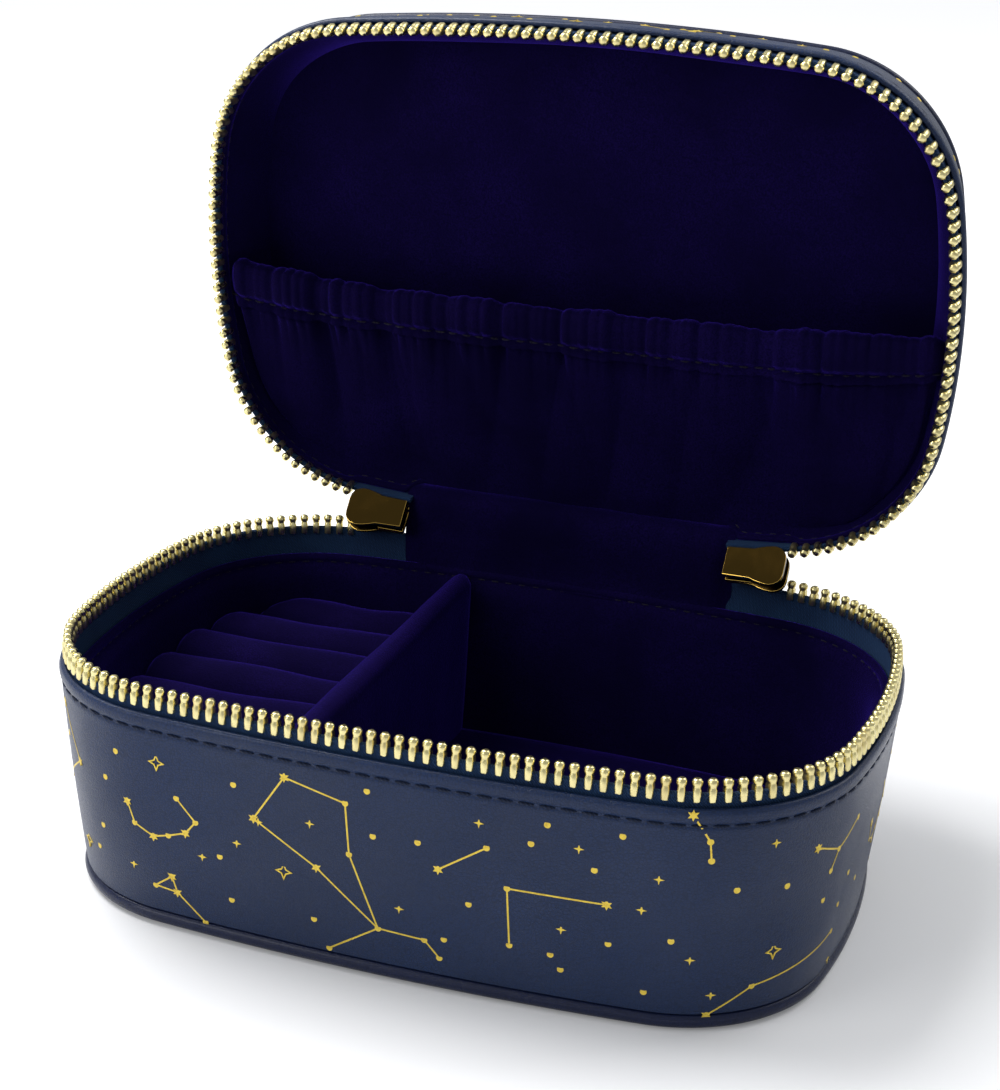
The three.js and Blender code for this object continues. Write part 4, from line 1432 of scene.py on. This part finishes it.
def pocket_surface(half, u, y_share):
    """x, y and depth of the pocket in millimetres, with the lid shut.

    u runs from -1 to 1 across it, and y_share from its mouth to its foot.
    """
    size = bpy.context.scene.velvet_sizes
    inset = 3.3 * MM
    edge = half.outline.half_width(size.pocket_mouth, inset) / MM
    mouth = size.pocket_mouth / MM + 1.2 - 3.4 * np.abs(u) ** 4
    foot = half.outline.half_depth(u * 46 * MM, inset) / MM
    y = mouth + y_share * (foot - mouth)
    narrow = half.outline.half_width(np.minimum(np.abs(y), 50.2) * MM, inset) / MM
    return u * np.minimum(narrow, edge), y, foot - mouth


STITCH_LINE = 6.6  # from the pocket's mouth to the stitches under its casing, in millimetres
CLOTH = 0.32  # half the thickness of the casing's velvet, in millimetres


def lid_pocket():
    """A velvet pocket across the lid, gathered on an elastic casing sewn along its mouth."""
    size = bpy.context.scene.velvet_sizes
    half = shell("lid")
    z0 = half.rim / MM + 3.3
    casing_z = z0 - 1.3
    hem = size.pocket_hem / MM
    u = np.linspace(-1, 1, 481)[:, None]
    ends = np.clip((1 - np.abs(u)) / 0.03, 0, 1)

    share = np.concatenate([np.linspace(0.16, 0.4, 26), np.linspace(0.42, 1.0, 24)])[None, :]
    x, y, deep = pocket_surface(half, u, share)
    below = np.clip((share * deep - hem) / (deep - hem), 0, 1)
    fold = gathers(x, below) * ends
    grown = np.clip((share * deep - hem + 1.6) / 2.4, 0, 1)
    foot = np.clip((1 - share) / 0.12, 0, 1)
    billow = 0.9 * np.sin(np.pi * np.clip(below, 0, 1)) * (1 - u**2)
    z = z0 - ((2.2 * fold - 1.8) * grown * foot + billow)
    front = np.stack([x, y, z], axis=-1)
    back = front + [0, 0, 0.7]
    grid = np.concatenate([front, back[:, ::-1]], axis=1) * MM
    panel = loft("pocket_gathered_velvet", half.rest(grid), finish_of("velvet"), sharp=80)
    finish_piece(panel, "lid", "velvet", "pocket_panel")

    fold_over = [0.05, 0.012, 0, 0.012, 0.05]
    along = np.concatenate([np.linspace(1, 0.12, 12), fold_over, np.linspace(0.12, 0.95, 6)])
    side = np.concatenate([np.full(12, 1.0), [0.85, 0.45, 0, -0.45, -0.85], np.full(6, -1.0)])
    puff = side * (0.62 + 0.5 * np.sin(np.pi * np.clip(along / 0.85, 0, 1)))
    step = np.column_stack([np.gradient(along * hem), np.gradient(puff)])
    step /= np.linalg.norm(step, axis=1)[:, None]
    outer = np.column_stack([along * hem + CLOTH * step[:, 1], puff - CLOTH * step[:, 0]])
    inner = np.column_stack([along * hem - CLOTH * step[:, 1], puff + CLOTH * step[:, 0]])
    ring = np.vstack([outer, inner[::-1]])
    faces_out = np.concatenate([side, side[::-1]])[None, :] > 0
    down, depth = ring[None, :, 0], ring[None, :, 1]
    deep = pocket_surface(half, u, 0 * u)[2]
    x, y, _ = pocket_surface(half, u, down / deep)
    pleat = gathers(x, 0 * down) * ends
    sewn = 1 - 0.45 * np.exp(-(((down - STITCH_LINE) / 0.7) ** 2))
    z = casing_z - depth - np.where(faces_out, 1.25 * pleat * sewn, 0.5 * pleat)
    ruffle = 0.85 * (pleat - 0.8) * np.clip(1 - down / hem, 0, 1)
    grid = np.stack([x, y - ruffle, z], axis=-1) * MM
    casing = loft("pocket_elastic_casing", half.rest(grid), finish_of("velvet"), sharp=80)
    finish_piece(casing, "lid", "velvet", "pocket_hem")

    x, y, _ = pocket_surface(half, u, STITCH_LINE / deep)
    pleat = gathers(x, 0 * u) * ends
    z = casing_z - 0.95 - 1.25 * pleat * 0.55 - 0.3
    points = half.rest(np.column_stack([x[:, 0], y[:, 0], z[:, 0]])[4:-4] * MM)
    out = np.tile(turned([0.0, 0.0, -1.0], half.angle, half.axis * 0), (len(points), 1))
    thread = finish_of("velvet thread")
    shape = stitch_shape(thread, long=2.2, thick=0.42)
    stitches = row("pocket_stitches", points, out, False, 3.2 * MM, shape, thread)
    finish_piece(stitches, "lid", "velvet")


# ---- Hinge, sliders and pulls -----------------------------------------------------------------------


# The hinge strips in millimetres: where their ends begin to tuck in, over what run, and half their thickness.
TUCK_FROM, TUCK_RUN, HALF_STRIP = 35, 3.5, 0.45


def hinge_strip(name, path, reach, tucked, material, node, start, end, seed):
    """A soft strip across the back between the sliders, which bends as the lid moves.

    path is its section as (y, z). From start to end it goes over from following the base to the lid.
    """
    outline = Outline(sizes())
    line = smoothed(path, 4)
    x = np.linspace(-reach, reach, 60)
    bow = (outline.half_depth(x * MM, 0) - outline.half_depth(0, 0)) / MM
    bow = bow + tucked * np.clip((np.abs(x) - TUCK_FROM) / TUCK_RUN, 0, 1)
    step = np.gradient(line, axis=0)
    aside = np.column_stack([-step[:, 1], step[:, 0]]) / np.linalg.norm(step, axis=1)[:, None] * HALF_STRIP
    ring = np.vstack([line + aside, (line - aside)[::-1]])
    uneven = 0.18 * ripple(x[:, None] * MM, ring[None, :, 1] * MM, seed, longest=0.03, shortest=0.01)
    y = ring[None, :, 0] + bow[:, None] + uneven
    z = np.broadcast_to(ring[:, 1], y.shape)
    grid = np.stack([np.broadcast_to(x[:, None], y.shape), y, z], axis=-1) * MM
    piece = loft(name, grid, material, sharp=80)
    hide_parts(node)
    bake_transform(piece, "base", "lid", start=start, end=end)


def hinge():
    """The velvet cover inside the hinge and the leatherette strip outside it."""
    inner = [
        (53.9, 42.4), (54.5, 44.2), (54.6, 47), (54.5, 50), (54.4, 53.2), (54.3, 56), (54.5, 58.4),
        (55.1, 60.3), (56.6, 61.5), (58.8, 61.9), (61, 61.6),
    ]
    hinge_strip(
        "hinge_velvet", inner, 39.2, 1.4, finish_of("velvet"), "hinge_inner_cover",
        (0, 0.0545, 0.050), (0, 0.0551, 0.0600), 51,
    )
    outer = [
        (57.6, 45.6), (57.85, 47.6), (57.8, 49.8), (57.5, 52.2), (57.1, 54.4), (57.2, 56.0), (58.0, 57.0),
        (59.6, 57.4), (61.6, 57.5),
    ]
    hinge_strip(
        "hinge_leatherette", outer, 37.8, -0.6, finish_of("piping"), "hinge_outer_strip",
        (0, 0.0576, 0.0495), (0, 0.0575, 0.0572), 52,
    )


def softened_copy(name, node, width):
    """A gilt copy of a CAD node with its corners rounded, its faces in a painted dark reflection and its
    rounded corners in a painted highlight.
    """
    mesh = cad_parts[node].data.copy()
    made = bmesh.new()
    made.from_mesh(mesh)
    bmesh.ops.remove_doubles(made, verts=made.verts, dist=1e-6)
    bmesh.ops.dissolve_limit(made, angle_limit=math.radians(1), verts=made.verts, edges=made.edges)
    made.to_mesh(mesh)
    made.free()
    mesh.materials.clear()
    mesh.materials.append(finish_of("slider"))
    mesh.materials.append(finish_of("gilt edge"))
    holder = bpy.data.objects.new(name, mesh)
    bpy.context.scene.collection.objects.link(holder)
    bevel = holder.modifiers.new("Soften", "BEVEL")
    bevel.width, bevel.segments = width, 2
    bevel.limit_method, bevel.angle_limit = "ANGLE", math.radians(30)
    bevel.use_clamp_overlap = True
    # The bevel's faces take the painted highlight.
    bevel.material = mesh.materials.find(finish_of("gilt edge").name)
    graph = bpy.context.evaluated_depsgraph_get()
    final = bpy.data.meshes.new_from_object(holder.evaluated_get(graph), depsgraph=graph)
    bpy.data.objects.remove(holder)
    final.name = name
    final.shade_smooth()
    final.set_sharp_from_angle(angle=math.radians(24))
    piece = bpy.data.objects.new(name, final)
    bpy.context.scene.collection.objects.link(piece)
    return piece


def sliders():
    """The zip sliders with their pull links and tabs."""
    for side in ("left", "right"):
        for part, width in (("slider", 0.22), ("pull_link", 0.2), ("pull_tab", 0.16)):
            node = f"{side}_{part}"
            piece = softened_copy(f"{node}_gilt", node, width * MM)
            finish_piece(piece, node, "slider_metal", node)


# ---- The stage --------------------------------------------------------------------------------------


FLOOR_STEPS = 25
WORLD_COLOUR, WORLD_STRENGTH = (0.93, 0.96, 1.0, 1), 0.42
# Each light: where it is, the height of the point on the case's axis that it is aimed at, and its power.
LIGHTS = {
    "key light": ((-0.50, 0.12, 0.85), 0.05, 10.0),
    "front light": ((-0.75, -0.85, 0.55), 0.05, 3.6),
    "back light": ((0.5, 0.55, 0.8), 0.06, 3.0),
}
LIGHT_SIZE = 0.6
CAMERA_PLACE = (0.13389, -0.39407, 0.22113)
CAMERA_FORWARD, CAMERA_UP = (-0.2983, 0.8929, -0.3380), (-0.1266, 0.2728, 0.9537)
SENSOR_WIDTH = 36


def studio():
    """A plain pale floor, three soft lights and the camera."""
    size = bpy.context.scene.studio_sizes
    across = np.linspace(-size.floor_radius, size.floor_radius, FLOOR_STEPS)
    grid = np.stack(np.meshgrid(across, across, [0.0], indexing="ij"), axis=-1)[:, :, 0]
    backdrop = loft("studio_floor", grid, finish_of("floor"), tube=False)
    if backdrop.data.polygons[0].normal.z < 0:
        backdrop.data.flip_normals()

    world = bpy.data.worlds.new("studio")
    world.use_nodes = True
    background = next(n for n in world.node_tree.nodes if n.type == "BACKGROUND")
    background.inputs["Color"].default_value = WORLD_COLOUR
    background.inputs["Strength"].default_value = WORLD_STRENGTH
    bpy.context.scene.world = world
    bpy.context.scene.view_settings.view_transform = "Standard"
    bpy.context.scene.view_settings.look = "None"

    for name, (place, aim_height, power) in LIGHTS.items():
        softbox(name, place, (0.0, 0.0, aim_height), power)

    lens = bpy.data.cameras.new("camera")
    lens.lens, lens.sensor_width, lens.clip_start, lens.clip_end = size.lens, SENSOR_WIDTH, 0.01, 20
    camera = bpy.data.objects.new("camera", lens)
    bpy.context.scene.collection.objects.link(camera)
    forward = Vector(CAMERA_FORWARD).normalized()
    right = forward.cross(Vector(CAMERA_UP)).normalized()
    above = right.cross(forward)
    turn = Matrix((right, above, -forward)).transposed().to_4x4()
    camera.matrix_world = Matrix.Translation(CAMERA_PLACE) @ turn
    bpy.context.scene.camera = camera


def softbox(name, place, aim, power):
    """A square area light turned to a point."""
    light = bpy.data.lights.new(name, "AREA")
    light.shape, light.size, light.energy = "SQUARE", LIGHT_SIZE, power
    made = bpy.data.objects.new(name, light)
    bpy.context.scene.collection.objects.link(made)
    made.location = place
    made.rotation_euler = (Vector(aim) - Vector(place)).to_track_quat("-Z", "Y").to_euler()


def boards():
    """The greyboard inside the walls and panels keeps its CAD shape."""
    for node in ("bottom_board", "base_wall_board", "lid_top_board", "lid_wall_board"):
        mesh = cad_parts[node].data
        mesh.materials.clear()
        mesh.materials.append(finish_of("board"))


# ---- Operators --------------------------------------------------------------------------------------


def for_both(maker):
    """Makes a piece for the base and one for the lid."""
    for name in ("base", "lid"):
        maker(shell(name))


class CASE_OT_studio(Operator):
    """Adds the floor, the lights and the camera"""

    bl_idname, bl_label, bl_options = "jewelry_case.studio", "Studio", {"REGISTER"}

    def execute(self, context):
        studio()
        return {"FINISHED"}


class CASE_OT_boards(Operator):
    """Gives the stiff boards their finish"""

    bl_idname, bl_label, bl_options = "jewelry_case.boards", "Boards", {"REGISTER"}

    def execute(self, context):
        boards()
        return {"FINISHED"}


class CASE_OT_walls(Operator):
    """Adds the leatherette walls with their rolled rims"""

    bl_idname, bl_label, bl_options = "jewelry_case.walls", "Walls", {"REGISTER"}

    def execute(self, context):
        for_both(wall_cover)
        return {"FINISHED"}


class CASE_OT_stitches(Operator):
    """Adds the stitches under both rims"""

    bl_idname, bl_label, bl_options = "jewelry_case.stitches", "Stitches", {"REGISTER"}

    def execute(self, context):
        for_both(wall_stitches)
        return {"FINISHED"}


class CASE_OT_piping(Operator):
    """Adds the piping round the bottom and the top"""

    bl_idname, bl_label, bl_options = "jewelry_case.piping", "Piping", {"REGISTER"}

    def execute(self, context):
        for_both(piping_cord)
        return {"FINISHED"}


class CASE_OT_panels(Operator):
    """Adds the bottom and top panels"""

    bl_idname, bl_label, bl_options = "jewelry_case.panels", "Panels", {"REGISTER"}

    def execute(self, context):
        for_both(edge_panel)
        return {"FINISHED"}


class CASE_OT_print(Operator):
    """Prints the gold star chart on the walls and the top"""

    bl_idname, bl_label, bl_options = "jewelry_case.star_chart", "Star chart", {"REGISTER"}

    def execute(self, context):
        for_both(print_chart)
        return {"FINISHED"}


class CASE_OT_lining(Operator):
    """Adds the velvet wall linings"""

    bl_idname, bl_label, bl_options = "jewelry_case.lining", "Lining", {"REGISTER"}

    def execute(self, context):
        for_both(wall_lining)
        return {"FINISHED"}


class CASE_OT_floor_pad(Operator):
    """Adds the velvet pad on the floor"""

    bl_idname, bl_label, bl_options = "jewelry_case.floor_pad", "Floor pad", {"REGISTER"}

    def execute(self, context):
        floor_pad()
        return {"FINISHED"}


class CASE_OT_divider(Operator):
    """Adds the divider"""

    bl_idname, bl_label, bl_options = "jewelry_case.divider", "Divider", {"REGISTER"}

    def execute(self, context):
        divider()
        return {"FINISHED"}


class CASE_OT_ring_block(Operator):
    """Adds the block under the ring rolls"""

    bl_idname, bl_label, bl_options = "jewelry_case.ring_block", "Ring block", {"REGISTER"}

    def execute(self, context):
        ring_pad()
        return {"FINISHED"}


class CASE_OT_ring_rolls(Operator):
    """Adds the velvet ring rolls"""

    bl_idname, bl_label, bl_options = "jewelry_case.ring_rolls", "Ring rolls", {"REGISTER"}

    def execute(self, context):
        ring_rolls()
        return {"FINISHED"}


class CASE_OT_lid_pad(Operator):
    """Adds the velvet panel in the lid"""

    bl_idname, bl_label, bl_options = "jewelry_case.lid_pad", "Lid pad", {"REGISTER"}

    def execute(self, context):
        lid_pad()
        return {"FINISHED"}


class CASE_OT_pocket(Operator):
    """Adds the gathered pocket in the lid"""

    bl_idname, bl_label, bl_options = "jewelry_case.pocket", "Pocket", {"REGISTER"}

    def execute(self, context):
        lid_pocket()
        return {"FINISHED"}


class CASE_OT_zip_tape(Operator):
    """Adds both zip tapes"""

    bl_idname, bl_label, bl_options = "jewelry_case.zip_tape", "Zip tape", {"REGISTER"}

    def execute(self, context):
        for_both(zip_tape)
        return {"FINISHED"}


class CASE_OT_zip_teeth(Operator):
    """Adds both rows of zip teeth"""

    bl_idname, bl_label, bl_options = "jewelry_case.zip_teeth", "Zip teeth", {"REGISTER"}

    def execute(self, context):
        for_both(zip_teeth)
        return {"FINISHED"}


class CASE_OT_hinge(Operator):
    """Adds the soft hinge strips"""

    bl_idname, bl_label, bl_options = "jewelry_case.hinge", "Hinge", {"REGISTER"}

    def execute(self, context):
        hinge()
        return {"FINISHED"}


class CASE_OT_sliders(Operator):
    """Adds the zip sliders and their pulls"""

    bl_idname, bl_label, bl_options = "jewelry_case.sliders", "Sliders", {"REGISTER"}

    def execute(self, context):
        sliders()
        return {"FINISHED"}


OPERATORS = [
    CASE_OT_studio, CASE_OT_boards, CASE_OT_walls, CASE_OT_stitches, CASE_OT_piping, CASE_OT_panels,
    CASE_OT_print, CASE_OT_lining, CASE_OT_floor_pad, CASE_OT_divider, CASE_OT_ring_block,
    CASE_OT_ring_rolls, CASE_OT_lid_pad, CASE_OT_pocket, CASE_OT_zip_tape, CASE_OT_zip_teeth, CASE_OT_hinge,
    CASE_OT_sliders,
]


class CASE_PT_pieces(Panel):
    """Builds the case piece by piece"""

    bl_idname, bl_label = "CASE_PT_pieces", "Jewelry Case"
    bl_space_type, bl_region_type, bl_category = "VIEW_3D", "UI", "Jewelry Case"

    def draw(self, context):
        for operator in OPERATORS:
            self.layout.operator(operator.bl_idname)


GROUPS = {
    "case_sizes": CaseSizes,
    "zip_sizes": ZipSizes,
    "velvet_sizes": VelvetSizes,
    "case_colours": CaseColours,
    "studio_sizes": StudioSizes,
}


def register():
    """Registers the classes and gives the scene its sizes and colours."""
    for made in [*GROUPS.values(), *OPERATORS, CASE_PT_pieces]:
        bpy.utils.register_class(made)
    for name, group in GROUPS.items():
        setattr(bpy.types.Scene, name, PointerProperty(type=group))


def unregister():
    """Undoes register."""
    for name in GROUPS:
        delattr(bpy.types.Scene, name)
    for made in [CASE_PT_pieces, *reversed(OPERATORS), *GROUPS.values()]:
        bpy.utils.unregister_class(made)


def main():
    """Builds the whole case."""
    register()
    for operator in OPERATORS:
        family, name = operator.bl_idname.split(".")
        getattr(getattr(bpy.ops, family), name)()


if __name__ == "__main__":
    main()
